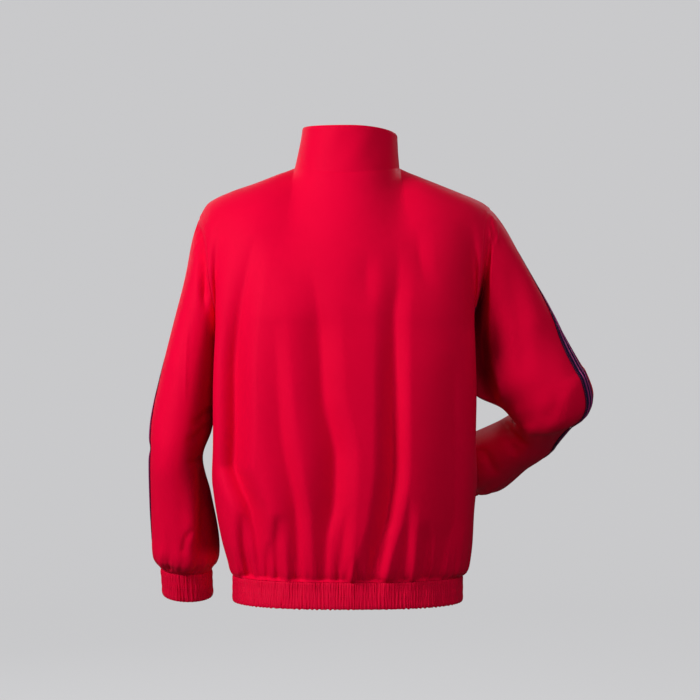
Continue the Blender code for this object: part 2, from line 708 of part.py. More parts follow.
def zip_slider(at, parts, helpers):
    """The slider: a plate on the chain with the bridge joined to it."""
    plate = add_object(
        "zip_slider",
        box_mesh("zip_slider", (SLIDER_WIDTH, SLIDER_DEPTH, SLIDER_LENGTH), (0.0, 0.0, 0.0)),
        METAL,
        parts,
    )
    plate.location = at
    round_edges(plate, 0.5 * MM)
    join = plate.modifiers.new("bridge", "BOOLEAN")
    join.operation = "UNION"
    join.object = slider_bridge(at + Vector((0.0, -SLIDER_DEPTH / 2 + 0.2 * MM, 0.0)), helpers)
    return plate


def zip_pull(hinge, parts, helpers):
    """The pull tab, which hangs on the slider's bridge by its top bar and turns about it."""
    centre = (0.0, 0.0, PULL_BAR / 2 - PULL_LENGTH / 2)
    tab = add_object(
        "zip_pull", box_mesh("zip_pull", (PULL_WIDTH, PULL_DEPTH, PULL_LENGTH), centre), METAL, parts
    )
    tab.location = hinge
    window_middle = (0.0, 0.0, -PULL_BAR / 2 - PULL_WINDOW_LENGTH / 2)
    cutter = bpy.data.objects.new(
        "zip_pull_window",
        box_mesh("zip_pull_window", (PULL_WINDOW_WIDTH, 4 * PULL_DEPTH, PULL_WINDOW_LENGTH), window_middle),
    )
    cutter.location = hinge
    cutter.hide_render = True
    cutter.display_type = "WIRE"
    helpers.objects.link(cutter)
    cut = tab.modifiers.new("window", "BOOLEAN")
    cut.operation = "DIFFERENCE"
    cut.object = cutter
    round_edges(tab, 0.3 * MM)
    return tab


def clear_scene():
    for thing in list(bpy.data.objects):
        bpy.data.objects.remove(thing)
    for collection in list(bpy.data.collections):
        bpy.data.collections.remove(collection)


def new_collection(name):
    made = bpy.data.collections.new(name)
    bpy.context.scene.collection.children.link(made)
    return made


def build_torso(parts):
    back = back_panel()
    fronts = {side: front_panel(side) for side in (1, -1)}

    cloth(
        "back", draw_in(back, 0.0, SHOULDER_INSET, ARMHOLE_INSET, ARMHOLE_INSET), CLOTH, RED, parts, flip=True
    )
    for side, name in ((1, "front_left"), (-1, "front_right")):
        grid = draw_in(fronts[side], 0.0, SHOULDER_INSET, 0.0, ARMHOLE_INSET)
        cloth(name, grid, CLOTH, RED, parts, flip=side < 0)
    return back, fronts


def build_sleeves(parts, back, fronts):
    for side, name in ((1, "left"), (-1, "right")):
        loop = armhole_loop(side, back, fronts[side])
        directions = armhole_directions(side, back, fronts[side])
        if side > 0:
            rings = left_sleeve_rings(loop)
            spans = [s.rows for s in LEFT_ARM]
            end = cuff_ring(LEFT_CUFF_END, side)[:5]
        else:
            rings = right_sleeve_rings(loop)
            spans = [row.rows for row in RIGHT_UPPER_ARM + ELBOW + RIGHT_FOREARM]
            centre, out, along, wide, deep = rings[-1][:5]
            end = (centre + np.array(FOREARM) * CUFF_LENGTH, out, along, wide, deep)
        grid = sleeve_grid(side, loop, directions, rings, spans)
        flip = side > 0
        sleeve = draw_in(grid, ARMHOLE_INSET, SEAM_GAP)
        cloth("sleeve_" + name, sleeve, CLOTH, RED, parts, flip, ring=True)
        lifted = sleeve + normals(sleeve, flip, ring=True) * (SEAM_GAP + TAPE_CLOTH)
        tape = draw_in(lifted[:, (SLEEVE_COLUMNS - 2, SLEEVE_COLUMNS - 1, 0)], 0.0, TAPE_END)
        cloth("sleeve_tape_" + name, tape, TAPE_CLOTH, NAVY, parts, flip)
        start = rings[-1][:5]
        cuff = ruched_ring(start, end, CUFF_WAVES, WAVE_RISE)
        cloth("cuff_" + name, cuff, BAND_CLOTH, RED, parts, flip, ring=True)


def build_trim(parts, helpers, front):
    collar = collar_grid()
    band = band_grid()
    cloth("collar", collar, COLLAR_CLOTH, RED, parts, flip=True)
    cloth("hem_band", band, BAND_CLOTH, RED, parts, flip=True)
    path = zip_path(front, collar, band)
    strip = np.stack([path - [ZIP_WIDTH / 2, 0, 0], path + [ZIP_WIDTH / 2, 0, 0]], axis=1)
    cloth("zip_chain", strip, ZIP_DEPTH, ZIP_RED, parts, flip=False)
    slider_z = path[-1, 2] - SLIDER_TOP_DROP - SLIDER_LENGTH / 2
    slider_ends = (slider_z - SLIDER_LENGTH / 2, slider_z + SLIDER_LENGTH / 2)
    chain_face = np.interp(slider_ends, path[-4:, 2], path[-4:, 1]).min()
    slider_at = Vector((0.0, chain_face - SEAM_GAP - SLIDER_DEPTH / 2, slider_z))
    zip_slider(slider_at, parts, helpers)
    hinge = slider_at + Vector((0.0, -SLIDER_DEPTH / 2 - SEAM_GAP - PULL_BAR / 2, 0.0))
    zip_pull(hinge, parts, helpers)


def main():
    clear_scene()
    parts = new_collection("windbreaker")
    helpers = new_collection("cutters")
    back, fronts = build_torso(parts)
    build_sleeves(parts, back, fronts)
    build_trim(parts, helpers, fronts[1])


main()
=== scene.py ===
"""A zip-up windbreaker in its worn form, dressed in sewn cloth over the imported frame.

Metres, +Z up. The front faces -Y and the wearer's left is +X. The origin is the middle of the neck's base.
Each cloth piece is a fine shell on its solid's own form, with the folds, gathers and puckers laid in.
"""

import logging
import math
from dataclasses import dataclass, field
from enum import Enum
from typing import Iterable, Sequence

import bpy
import numpy as np
from mathutils import Matrix, Vector


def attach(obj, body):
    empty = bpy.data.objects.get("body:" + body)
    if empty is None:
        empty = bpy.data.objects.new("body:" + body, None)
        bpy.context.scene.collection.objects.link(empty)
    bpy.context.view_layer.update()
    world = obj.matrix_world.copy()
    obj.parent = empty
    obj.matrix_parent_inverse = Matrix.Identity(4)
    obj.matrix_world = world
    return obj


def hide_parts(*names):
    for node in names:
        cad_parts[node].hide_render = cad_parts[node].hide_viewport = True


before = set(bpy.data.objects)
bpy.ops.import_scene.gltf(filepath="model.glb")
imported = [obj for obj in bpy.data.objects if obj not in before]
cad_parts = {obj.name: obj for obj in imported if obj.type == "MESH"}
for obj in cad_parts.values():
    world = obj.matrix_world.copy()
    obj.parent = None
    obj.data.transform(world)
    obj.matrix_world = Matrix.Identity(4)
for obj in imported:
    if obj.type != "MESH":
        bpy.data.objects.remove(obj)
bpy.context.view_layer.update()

LOG = logging.getLogger("windbreaker")
MM = 0.001
TAU = 2.0 * math.pi
QUARTER = math.pi / 2
VALLEY_FOOT = 4.0 * MM
VALLEY_DEPTH = 1.65
STITCH_RISE = 0.12 * MM
# A sleeve's columns are numbered from 0 to 18 round it, and its tape lies between 16 and 18.
PLACES = 18
TAPE_PLACE = 16
# The hem band and the cuffs are built of this many rows, and three of them are stitched to elastic.
RUCHED_ROWS = 25
ELASTIC_ROWS = (4, 12, 20)
Grid = np.ndarray
Triple = tuple[float, float, float]


class Side(Enum):
    """The wearer's two sides, as the sign of X."""

    LEFT = 1
    RIGHT = -1


class Face(Enum):
    """The back and the front, as the sign of Y."""

    BACK = 1
    FRONT = -1


class Look(Enum):
    """The way from which a crease is drawn: its two map axes are taken from this view."""

    BACK = (0.0, 1.0, 0.0)
    FRONT = (0.0, -1.0, 0.0)
    LEFT = (1.0, 0.0, 0.0)
    RIGHT = (-1.0, 0.0, 0.0)


# ---------------------------------------------------------------- tables


@dataclass(frozen=True)
class Section:
    """A level section of the torso: its half widths and depths, and how far the arms dent its sides."""

    height: float
    left: float
    right: float
    back: float
    front: float
    press: float


@dataclass(frozen=True)
class ShoulderPoint:
    """A place on the shoulder seams, by its share of the way from the neck."""

    share: float
    left_x: float
    left_z: float
    right_x: float
    right_z: float


@dataclass(frozen=True)
class Valley:
    """A valley between two folds of a panel, whose sides rise over `left` and `right` towards the wearer's sides."""

    left: float
    right: float
    spine: Grid


@dataclass(frozen=True)
class Station:
    """A ring of a sleeve: its centre, half sizes, tilt and the turn at which the tape's back edge lies."""

    x: float
    y: float
    z: float
    wide: float
    deep: float
    lean: float
    tape: float
    rows: int


@dataclass(frozen=True)
class Bend:
    """A ring of the bent elbow, by its share of the whole turn about the inner crease."""

    turned: float
    across: float
    deep: float
    tape: float
    rows: int


@dataclass(frozen=True)
class ForearmRing:
    """A ring of the bent arm's lower sleeve, by its distance from the elbow."""

    along: float
    across: float
    deep: float
    tape: float
    rows: int


@dataclass(frozen=True)
class Crease:
    """A fold drawn through three points of a view's map. A negative depth stands out of the cloth."""

    look: Look
    start: Grid
    middle: Grid
    end: Grid
    width: float
    depth: float


@dataclass(frozen=True)
class Cut:
    """A sheet's flat size as it shows, how it is held, and its flat area where the cut isn't a rectangle."""

    flat: tuple[float, float]
    held: str
    area: float | None = None


def valleys(*rows: tuple[float, float, Sequence[Triple]]) -> tuple[Valley, ...]:
    """Builds a panel's valleys.

    Args:
        *rows: In millimetres, the left side, the right side, then the spine's height, x and depth from its top down.

    Returns:
        The valleys, in metres.
    """
    return tuple(Valley(left * MM, right * MM, np.array(spine) * MM) for left, right, spine in rows)


def creases(drawn: dict[Look, Sequence[Sequence[float]]]) -> tuple[Crease, ...]:
    """Builds creases that are drawn on the maps of one or more views.

    Args:
        drawn: For each view, rows of millimetres: the start, middle and end points, the width and the depth.

    Returns:
        The creases, in metres.
    """
    return tuple(
        Crease(look, row[0:2], row[2:4], row[4:6], row[6], row[7])
        for look, rows in drawn.items()
        for row in np.array(rows) * MM
    )


SECTIONS = (
    Section(-0.636, 0.1835, 0.1795, 0.1215, 0.1235, 0.00),
    Section(-0.629, 0.1870, 0.1870, 0.1285, 0.1290, 0.00),
    Section(-0.615, 0.1905, 0.1905, 0.1330, 0.1325, 0.00),
    Section(-0.584, 0.1995, 0.1945, 0.1375, 0.1360, 0.00),
    Section(-0.540, 0.2085, 0.1970, 0.1405, 0.1385, 0.00),
    Section(-0.499, 0.2145, 0.2010, 0.1420, 0.1400, 0.00),
    Section(-0.420, 0.2245, 0.2095, 0.1430, 0.1410, 0.07),
    Section(-0.330, 0.2290, 0.2150, 0.1420, 0.1410, 0.12),
    Section(-0.245, 0.2275, 0.2140, 0.1370, 0.1370, 0.14),
)
SHOULDERS = (
    ShoulderPoint(0.00, 0.0860, 0.0040, 0.0800, 0.0040),
    ShoulderPoint(0.15, 0.1080, -0.0045, 0.1040, -0.0070),
    ShoulderPoint(0.40, 0.1470, -0.0200, 0.1410, -0.0220),
    ShoulderPoint(0.65, 0.1860, -0.0335, 0.1760, -0.0360),
    ShoulderPoint(0.88, 0.2225, -0.0510, 0.2085, -0.0490),
    ShoulderPoint(1.00, 0.2380, -0.0750, 0.2245, -0.0600),
)
BACK_VALLEYS = valleys(
    (32, 30, ((-105, 144.5, 0), (-180, 159, 5.5), (-239, 168, 11.5), (-314, 174, 18.5), (-404, 174, 20.5),
         (-460, 176, 21), (-490, 166, 18.5), (-527, 150, 15.5), (-573, 141, 13), (-602, 138, 11), (-636, 137, 8))),
    (34, 20, ((-239, 114, 0), (-329, 108, 3.5), (-419, 101, 5.5), (-479, 89, 6.5), (-540, 79, 9),
         (-600, 78, 10), (-627, 77, 9))),
    (46, 34, ((-152, 59, 0), (-209, 50, 3.5), (-269, 44, 8), (-359, 38, 10), (-449, 21, 12.5),
         (-509, 23, 12.5), (-570, 33, 10), (-627, 38, 8.5))),
    (16, 16, ((-517, 2, 0), (-570, 8, 4.5), (-627, 14, 5))),
    (28, 22, ((-119, -75, 0), (-179, -74, 3), (-239, -68, 5.5), (-329, -68, 9), (-449, -68, 11.5),
         (-540, -57, 11), (-585, -44, 8.5), (-627, -32, 7))),
    (10, 12, ((-562, -59, 0), (-600, -50, 3.5), (-627, -45, 4))),
    (60, 22, ((-284, -161, 0), (-359, -159, 2.5), (-449, -161, 4), (-540, -159, 5), (-577, -149, 6.5),
         (-627, -137, 6.5))),
    (26, 14, ((-502, -92, 0), (-540, -90, 2.5), (-577, -87, 5), (-627, -81, 6))),
    (22, 12, ((-540, -120, 0), (-577, -119, 3.5), (-627, -114, 4.5))),
    (12, 10, ((-555, -165, 0), (-600, -164, 2.5), (-627, -159, 3))),
    (16, 14, ((-532, 164, 0), (-577, 162, 6), (-627, 155, 9))),
    (17, 16, ((-532, 108, 0), (-577, 110, 7), (-627, 109, 8))),
    (10, 10, ((-574, 123, 0), (-600, 124, 3.5), (-627, 125, 4.5))),
    (9, 8, ((-594, -2, 0), (-627, 3, 2.5))),
    (7, 8, ((-597, -14, 0), (-627, -11, 2))),
    (30, 22, ((-134, -26, 0), (-171, -26, 1.8), (-224, -27, 0))),
    (26, 20, ((-96, -105, 0), (-141, -108, 2), (-194, -122, 0))),
)
FRONT_VALLEYS = valleys(
    (45, 30, ((-150, 70, 0), (-260, 64, 5), (-420, 58, 9), (-627, 50, 8))),
    (40, 26, ((-220, 128, 0), (-330, 122, 6), (-480, 112, 9), (-627, 104, 7))),
    (35, 24, ((-130, 172, 0), (-240, 176, 4), (-420, 168, 6), (-627, 150, 6))),
    (16, 12, ((-500, 30, 0), (-560, 30, 4), (-627, 28, 5))),
    (16, 16, ((-530, 80, 0), (-580, 78, 4), (-627, 77, 5))),
    (14, 14, ((-545, 130, 0), (-590, 128, 3.5), (-627, 127, 4))),
    (30, 45, ((-170, -60, 0), (-280, -58, 5), (-430, -52, 8.5), (-627, -44, 8))),
    (30, 44, ((-140, -120, 0), (-250, -116, 5), (-430, -106, 9), (-627, -94, 7.5))),
    (24, 36, ((-280, -172, 0), (-400, -168, 5), (-627, -146, 6))),
    (12, 14, ((-520, -25, 0), (-570, -25, 3.5), (-627, -24, 4.5))),
    (14, 16, ((-535, -71, 0), (-585, -70, 4), (-627, -69, 5))),
    (14, 14, ((-550, -121, 0), (-590, -120, 3.5), (-627, -119, 4.5))),
)
LEFT_ARM = (
    Station(0.2349, 0.000, -0.2430, 0.0505, 0.0560, 50, -17, 4),
    Station(0.2505, -0.002, -0.3250, 0.0465, 0.0610, 21, -3, 3),
    Station(0.2640, -0.004, -0.4000, 0.0480, 0.0620, 10, 12, 3),
    Station(0.2730, -0.006, -0.4550, 0.0415, 0.0590, 0, 16, 2),
    Station(0.2675, -0.022, -0.5170, 0.0480, 0.0580, -4, 12, 2),
    Station(0.2625, -0.037, -0.5750, 0.0530, 0.0580, 0, 2, 2),
    Station(0.2625, -0.046, -0.6130, 0.0520, 0.0540, 2, -6, 2),
    Station(0.2615, -0.050, -0.6340, 0.0412, 0.0360, 2, -10, 2),
)
LEFT_CUFF_START = (0.2615, -0.050, -0.634)
LEFT_CUFF_END = Station(0.2600, -0.0610, -0.6780, 0.0408, 0.0355, 2, -10, 1)
RIGHT_UPPER_ARM = (
    Station(0.2365, 0.000, -0.2100, 0.0720, 0.0570, 52, -4, 4),
    Station(0.2600, 0.000, -0.2590, 0.0690, 0.0620, 35, 17, 2),
    Station(0.2715, 0.000, -0.3110, 0.0840, 0.0655, 29, 34, 2),
    Station(0.3045, 0.000, -0.3420, 0.0715, 0.0660, 29, 42, 2),
)
ELBOW = (
    Bend(0.15, 0.142, 0.066, 50, 1),
    Bend(0.30, 0.136, 0.066, 58, 1),
    Bend(0.40, 0.124, 0.064, 64, 1),
    Bend(0.50, 0.101, 0.060, 70, 1),
    Bend(0.70, 0.085, 0.055, 68, 1),
    Bend(1.00, 0.086, 0.051, 50, 1),
)
RIGHT_FOREARM = (
    ForearmRing(0.055, 0.091, 0.051, 36, 2),
    ForearmRing(0.110, 0.104, 0.052, 34, 2),
    ForearmRing(0.138, 0.097, 0.048, 30, 1),
    ForearmRing(0.162, 0.0780, 0.0350, 28, 1),
)
FOREARM = Vector((0.60, -0.655, -0.455)).normalized()

SLEEVE_CREASES = {
    Side.LEFT: creases({
        Look.BACK: (
            (238, -76, 231, -140, 221, -235, 6.5, 10),
            (250, -243, 252, -300, 254, -372, 2.2, -1),
            (215, -372, 226, -388, 245, -404, 6, 4.2),
            (220, -394, 233, -415, 254, -428, 5.5, 3.6),
            (224, -450, 238, -458, 255, -456, 4.5, 3.4),
            (280, -300, 285, -370, 278, -440, 14, 1.4),
            (252, -425, 244, -520, 253, -614, 11, -6),
            (290, -470, 285, -540, 288, -612, 14, 1.2),
            (233, -440, 227, -530, 235, -618, 9, 6),
            (242, -560, 256, -582, 260, -612, 5, 2.6),
        ),
        Look.FRONT: (
            (233, -100, 228, -160, 220, -240, 7, 6),
            (220, -380, 238, -402, 270, -418, 7, 4.6),
            (224, -430, 245, -446, 272, -452, 6, 4.2),
            (226, -478, 244, -500, 268, -512, 7, 3.8),
            (260, -180, 268, -260, 272, -340, 14, 4),
            (242, -540, 248, -580, 244, -620, 9, 3.6),
            (280, -530, 276, -580, 280, -620, 9, 3.4),
        ),
        Look.LEFT: (
            (-50, -400, -20, -430, 20, -442, 9, 3),
            (-75, -520, -55, -560, -60, -612, 10, 3.2),
        ),
    }),
    Side.RIGHT: creases({
        Look.BACK: (
            (-219, -66, -218.5, -92, -221.5, -122, 2.2, -3),
            (-224, -64, -225.5, -84, -227, -110, 2.2, -2.8),
            (-229, -72, -231, -94, -230, -124, 2.2, -2.4),
            (-246, -130, -264, -230, -272, -340, 18, 3.2),
            (-222, -290, -230, -330, -244, -375, 7, -3),
            (-242, -380, -256, -414, -286, -437, 6, 8),
            (-256, -368, -270, -398, -298, -418, 10, -3.6),
            (-244, -402, -254, -430, -274, -452, 8, 4.6),
            (-290, -230, -306, -300, -308, -370, 18, 1.2),
            (-210, -440, -224, -462, -240, -492, 8, 4),
            (-330, -330, -318, -372, -298, -398, 11, 1.6),
        ),
        Look.FRONT: (
            (-214, -110, -216, -170, -212, -235, 7, 6),
            (-238, -130, -260, -200, -274, -270, 13, 5.4),
            (-242, -330, -270, -352, -306, -350, 8, 6.4),
            (-246, -352, -276, -380, -318, -384, 7, 5.6),
            (-230, -372, -256, -404, -290, -422, 7, 4.6),
            (-210, -420, -224, -450, -220, -482, 7, 3.4),
            (-290, -200, -310, -260, -316, -310, 13, 3.4),
        ),
        Look.RIGHT: (
            (-60, -340, -30, -372, 10, -380, 10, 4),
        ),
    }),
}
# The crevice beside the right sleeve: its height, its edge's x, and how far the sleeve is pressed in there, which also
# sets its painted shade.
CREVICE = (
    (-0.090, -0.2240, 0.00),
    (-0.128, -0.2200, 0.60),
    (-0.175, -0.2155, 0.88),
    (-0.253, -0.2140, 0.88),
    (-0.310, -0.2185, 0.85),
    (-0.351, -0.2300, 0.60),
    (-0.385, -0.2400, 0.00),
)
# The sleeves' inner sides are shaded down to these heights.
LEFT_SHADE_END = -0.62
RIGHT_SHADE_END = -0.37
# A small hollow in the right sleeve beside the torso: its depth, its height and half of its extent.
HOLLOW_DEPTH = 0.006
HOLLOW_HEIGHT = -0.300
HOLLOW_REACH = 0.034
TORSO_CREASES = {
    Face.BACK: creases({
        Look.BACK: (
            (-190, -110, -189, -190, -185, -280, 10, 2.6),
        ),
    }),
    Face.FRONT: creases({
        Look.FRONT: (
            (90, -30, 130, -80, 172, -150, 18, 3.4),
            (-86, -30, -124, -80, -164, -150, 18, 3.4),
            (60, -70, 76, -120, 74, -190, 15, 2.8),
            (-60, -70, -72, -130, -66, -210, 15, 2.8),
            (192, -130, 190, -200, 184, -280, 11, 3.2),
            (-186, -130, -185, -200, -180, -280, 11, 3.2),
        ),
    }),
}


# ---------------------------------------------------------------- curves and surfaces


def ease(share: Grid) -> Grid:
    """Gives a soft step from 0 to 1.

    Args:
        share: Values that are clipped to 0..1.

    Returns:
        The eased values.
    """
    share = np.clip(share, 0.0, 1.0)
    return share * share * (3.0 - 2.0 * share)


def bell(share: Grid) -> Grid:
    """Falls softly from 1 at nought towards 0."""
    return np.exp(-(share**2))


def walk(points: Grid, axis: int = 0) -> Grid:
    """Adds up the distance walked from point to point.

    Args:
        points: A path or a grid of points.
        axis: The axis to walk along.

    Returns:
        The distance at each point, from 0 at the first.
    """
    steps = np.linalg.norm(np.diff(points, axis=axis), axis=-1)
    return np.insert(np.cumsum(steps, axis=axis), 0, 0.0, axis=axis)


def sample(at: Grid, places: Grid, path: Grid) -> Grid:
    """Reads points off a path whose own points lie at the given places."""
    return np.stack([np.interp(at, places, path[:, n]) for n in range(3)], axis=-1)


def neck_arc(turn: Grid, wide: float, start: float, deep: float, high: float, low: float) -> Grid:
    """Draws a quarter of a line round the neck, from its middle to its side.

    Args:
        turn: The turn at each point, from 0 to a quarter.
        wide: X at the side.
        start: Y at the side.
        deep: Y in the middle.
        high: The height at the side.
        low: The height in the middle.

    Returns:
        The points.
    """
    middle = np.cos(turn)
    return np.stack([wide * np.sin(turn), start + (deep - start) * middle, high + (low - high) * middle**1.5], axis=-1)


def column(rows: Sequence[object], name: str) -> Grid:
    """Reads one named column of a table.

    Args:
        rows: The table.
        name: The column's name.

    Returns:
        Its values as an array.
    """
    return np.array([getattr(row, name) for row in rows], float)


def hermite(share: Grid, start: Grid, start_slope: Grid, end: Grid, end_slope: Grid) -> Grid:
    """Runs a cubic from start to end that leaves and arrives along two slopes.

    Args:
        share: The way along, from 0 to 1.
        start: Where it leaves.
        start_slope: Its slope there.
        end: Where it arrives.
        end_slope: Its slope there.

    Returns:
        The point or value at each share.
    """
    left = 1.0 - share
    return (
        (1.0 + 2.0 * share) * left**2 * start
        + share * left**2 * start_slope
        + share**2 * (3.0 - 2.0 * share) * end
        - share**2 * left * end_slope
    )


def flow(places: Grid, values: Grid, at: Grid) -> Grid:
    """Reads a smooth curve through values that makes no bumps of its own.

    Args:
        places: Where the values are known.
        values: The values.
        at: Where the curve is read.

    Returns:
        The curve's values.
    """
    order = np.argsort(places)
    places, values, at = np.asarray(places)[order], np.asarray(values)[order], np.asarray(at, float)
    step = np.diff(places)
    rise = np.diff(values) / step
    slope = np.concatenate([rise[:1], np.zeros(len(rise) - 1), rise[-1:]])
    same_way = rise[:-1] * rise[1:] > 0.0
    total = np.where(same_way, rise[:-1] + rise[1:], 1.0)
    slope[1:-1] = np.where(same_way, 2.0 * rise[:-1] * rise[1:] / total, 0.0)
    span = np.clip(np.searchsorted(places, at, side="right") - 1, 0, len(step) - 1)
    share = np.clip((at - places[span]) / step[span], 0.0, 1.0)
    return hermite(share, values[span], step[span] * slope[span], values[span + 1], step[span] * slope[span + 1])


def spline(knots: Grid, points: Grid, at: Iterable[float], first_slope: Grid) -> Grid:
    """Samples a curve through a stack of point rows.

    Args:
        knots: The place of each row.
        points: The rows.
        at: The places to sample.
        first_slope: The slope at the first row.

    Returns:
        One row of points for each place.
    """
    slopes = np.empty_like(points)
    slopes[1:-1] = (points[2:] - points[:-2]) / (knots[2:] - knots[:-2]).reshape(-1, 1, 1)
    slopes[0] = first_slope
    slopes[-1] = (points[-1] - points[-2]) / (knots[-1] - knots[-2])
    sampled = []
    for place in at:
        span = min(max(int(np.searchsorted(knots, place, side="right")) - 1, 0), len(knots) - 2)
        step = knots[span + 1] - knots[span]
        share = (place - knots[span]) / step
        sampled.append(
            hermite(share, points[span], step * slopes[span], points[span + 1], step * slopes[span + 1])
        )
    return np.array(sampled)


def unit(vectors: Grid) -> Grid:
    """Scales vectors to length one."""
    vectors = np.asarray(vectors, float)
    return vectors / np.maximum(np.linalg.norm(vectors, axis=-1, keepdims=True), 1e-12)


def normals(grid: Grid, flip: bool, ring: bool = False) -> Grid:
    """Finds the unit normal at each point of a grid.

    Args:
        grid: Rows of points.
        flip: Whether the rows run so that the plain normal points inwards.
        ring: Whether each row closes on itself.

    Returns:
        The outward normals.
    """
    if ring:
        across = np.roll(grid, -1, axis=1) - np.roll(grid, 1, axis=1)
    else:
        across = np.gradient(grid, axis=1)
    return unit(np.cross(across, np.gradient(grid, axis=0))) * (-1.0 if flip else 1.0)


def valley_depth(grid: Grid, outwards: Grid, face: Face) -> Grid:
    """Works out how far a panel's valleys draw each point inwards.

    Args:
        grid: The panel's points.
        outwards: Its normals.
        face: The side that the panel is on.

    Returns:
        The depth at each point, in metres.
    """
    x, z = grid[..., 0], grid[..., 2]
    total = np.zeros_like(x)
    for valley in BACK_VALLEYS if face is Face.BACK else FRONT_VALLEYS:
        heights, line, deep = valley.spine.T
        away = x - flow(heights, line, z)
        reach = np.where(away > 0.0, valley.left, valley.right)
        foot = min(VALLEY_FOOT, 0.2 * min(valley.left, valley.right))
        rise = np.clip((np.sqrt(away**2 + foot**2) - foot) / reach, 0.0, 1.0)
        total += VALLEY_DEPTH * flow(heights, deep, z) * (1.0 - rise) ** 1.6
    return total * ease(face.value * outwards[..., 1] / 0.35)


def wobble(at: Grid, pitch: float, seed: int, waves: int = 7) -> Grid:
    """Makes uneven waves of about one pitch, from a few sines with set phases.

    Args:
        at: Distance along the cloth.
        pitch: The usual distance from crest to crest.
        seed: Chooses the phases.
        waves: How many sines are summed.

    Returns:
        Values of about -1 to 1.
    """
    draw = np.random.default_rng(seed)
    total = np.zeros_like(at, dtype=float)
    for _ in range(waves):
        own = pitch * draw.uniform(0.72, 1.45)
        total += draw.uniform(0.6, 1.0) * np.sin(TAU * at / own + draw.uniform(0.0, TAU))
    return total / (0.55 * waves)


def ruching(turn: Grid, climb: float, ribs: float, seed: int) -> Grid:
    """Makes the uneven ribs of cloth that is gathered on three rows of elastic.

    Args:
        turn: The angle round the tube.
        climb: The share of the way up it.
        ribs: About how many ribs there are round it.
        seed: Chooses the phases.

    Returns:
        The ribs' height at each angle, of about -1 to 1.
    """
    draw = np.random.default_rng(seed)
    total = np.zeros_like(turn)
    for part in range(4):
        weight = 0.55 if part == 3 else max(0.0, 1.0 - abs(3.0 * climb - 0.5 - part)) * 0.75
        waves = np.round(ribs * draw.uniform(0.62, 1.50, 9))
        phases = draw.uniform(0.0, TAU, 9)
        if weight > 0.0:
            total += weight * np.sin(turn[:, None] * waves + phases).sum(axis=1) / 3.0
    return np.sign(total) * np.abs(total) ** 0.85


def crease_depth(grid: Grid, outwards: Grid, drawn: Sequence[Crease]) -> Grid:
    """Works out how far creases draw each point of a grid inwards.

    Args:
        grid: The cloth's points.
        outwards: Its normals.
        drawn: The creases that were drawn for it.

    Returns:
        The depth at each point, in metres.
    """
    total = np.zeros(grid.shape[:-1])
    share = np.linspace(0.0, 1.0, 25)[:, None]
    for crease in drawn:
        look = np.array(crease.look.value)
        axis = 0 if abs(look[1]) > 0.5 else 1
        flat = grid[..., (axis, 2)]
        a, b, c = crease.start, crease.middle, crease.end
        line = (1 - share) ** 2 * a + 2 * share * (1 - share) * (2 * b - (a + c) / 2) + share**2 * c
        low, high = line.min(axis=0) - 4 * crease.width, line.max(axis=0) + 4 * crease.width
        near = np.all((flat > low) & (flat < high), axis=-1)
        near &= outwards @ look > 0.0
        if not near.any():
            continue
        steps = np.diff(line, axis=0)
        offset = flat[near][:, None, :] - line[None, :-1]
        part = np.clip((offset * steps).sum(axis=-1) / (steps**2).sum(axis=-1), 0.0, 1.0)
        gaps = np.linalg.norm(offset - part[..., None] * steps, axis=-1)
        closest = gaps.argmin(axis=1)[:, None]
        along = (closest + np.take_along_axis(part, closest, axis=1))[:, 0] / len(steps)
        strength = ease(along / 0.25) * ease((1.0 - along) / 0.25)
        facing = ease((outwards[near] @ look) / 0.35)
        total[near] += crease.depth * strength * facing * bell(gaps.min(axis=1) / crease.width)
    return total


# ---------------------------------------------------------------- finishes


class Links:
    """A small helper that adds nodes to a tree and joins them."""

    def __init__(self, tree: bpy.types.NodeTree) -> None:
        """Keeps the tree that nodes are added to."""
        self.tree = tree

    def add(self, kind: str, inputs: dict | None = None, **settings: object) -> bpy.types.Node:
        """Adds a node.

        Args:
            kind: The node's type.
            inputs: Values or sockets for its inputs, by name or number.
            **settings: Attributes that are set on the node.

        Returns:
            The new node.
        """
        node = self.tree.nodes.new(kind)
        for name, value in settings.items():
            setattr(node, name, value)
        self.fill(node, inputs or {})
        return node

    def fill(self, node: bpy.types.Node, inputs: dict) -> None:
        """Sets a node's inputs.

        Args:
            node: The node.
            inputs: Values or sockets for its inputs, by name or number.
        """
        for key, value in inputs.items():
            if isinstance(value, bpy.types.NodeSocket):
                self.tree.links.new(value, node.inputs[key])
            else:
                node.inputs[key].default_value = value

    def math(self, operation: str, a: object, b: object = 0.0) -> bpy.types.NodeSocket:
        """Adds a Math node and gives its output."""
        return self.add("ShaderNodeMath", {0: a, 1: b}, operation=operation).outputs[0]


def new_group(name: str, inputs: dict[str, tuple[str, object]], outputs: dict[str, str]) -> tuple:
    """Starts a shader node group with named sockets.

    Args:
        name: The group's name.
        inputs: Socket type and default for each input.
        outputs: Socket type for each output.

    Returns:
        The group, its links helper, its input node and its output node.
    """
    group = bpy.data.node_groups.new(name, "ShaderNodeTree")
    for key, (kind, default) in inputs.items():
        group.interface.new_socket(key, in_out="INPUT", socket_type=kind).default_value = default
    for key, kind in outputs.items():
        group.interface.new_socket(key, in_out="OUTPUT", socket_type=kind)
    links = Links(group)
    return group, links, links.add("NodeGroupInput"), links.add("NodeGroupOutput")


def new_material(name: str) -> tuple[bpy.types.Material, Links, bpy.types.Node]:
    """Starts a material, and gives it with its links helper and its Principled shader.

    Args:
        name: The material's name.

    Returns:
        The material, its links helper and its shader.
    """
    made = bpy.data.materials.new(name)
    made.use_nodes = True
    return made, Links(made.node_tree), made.node_tree.nodes["Principled BSDF"]


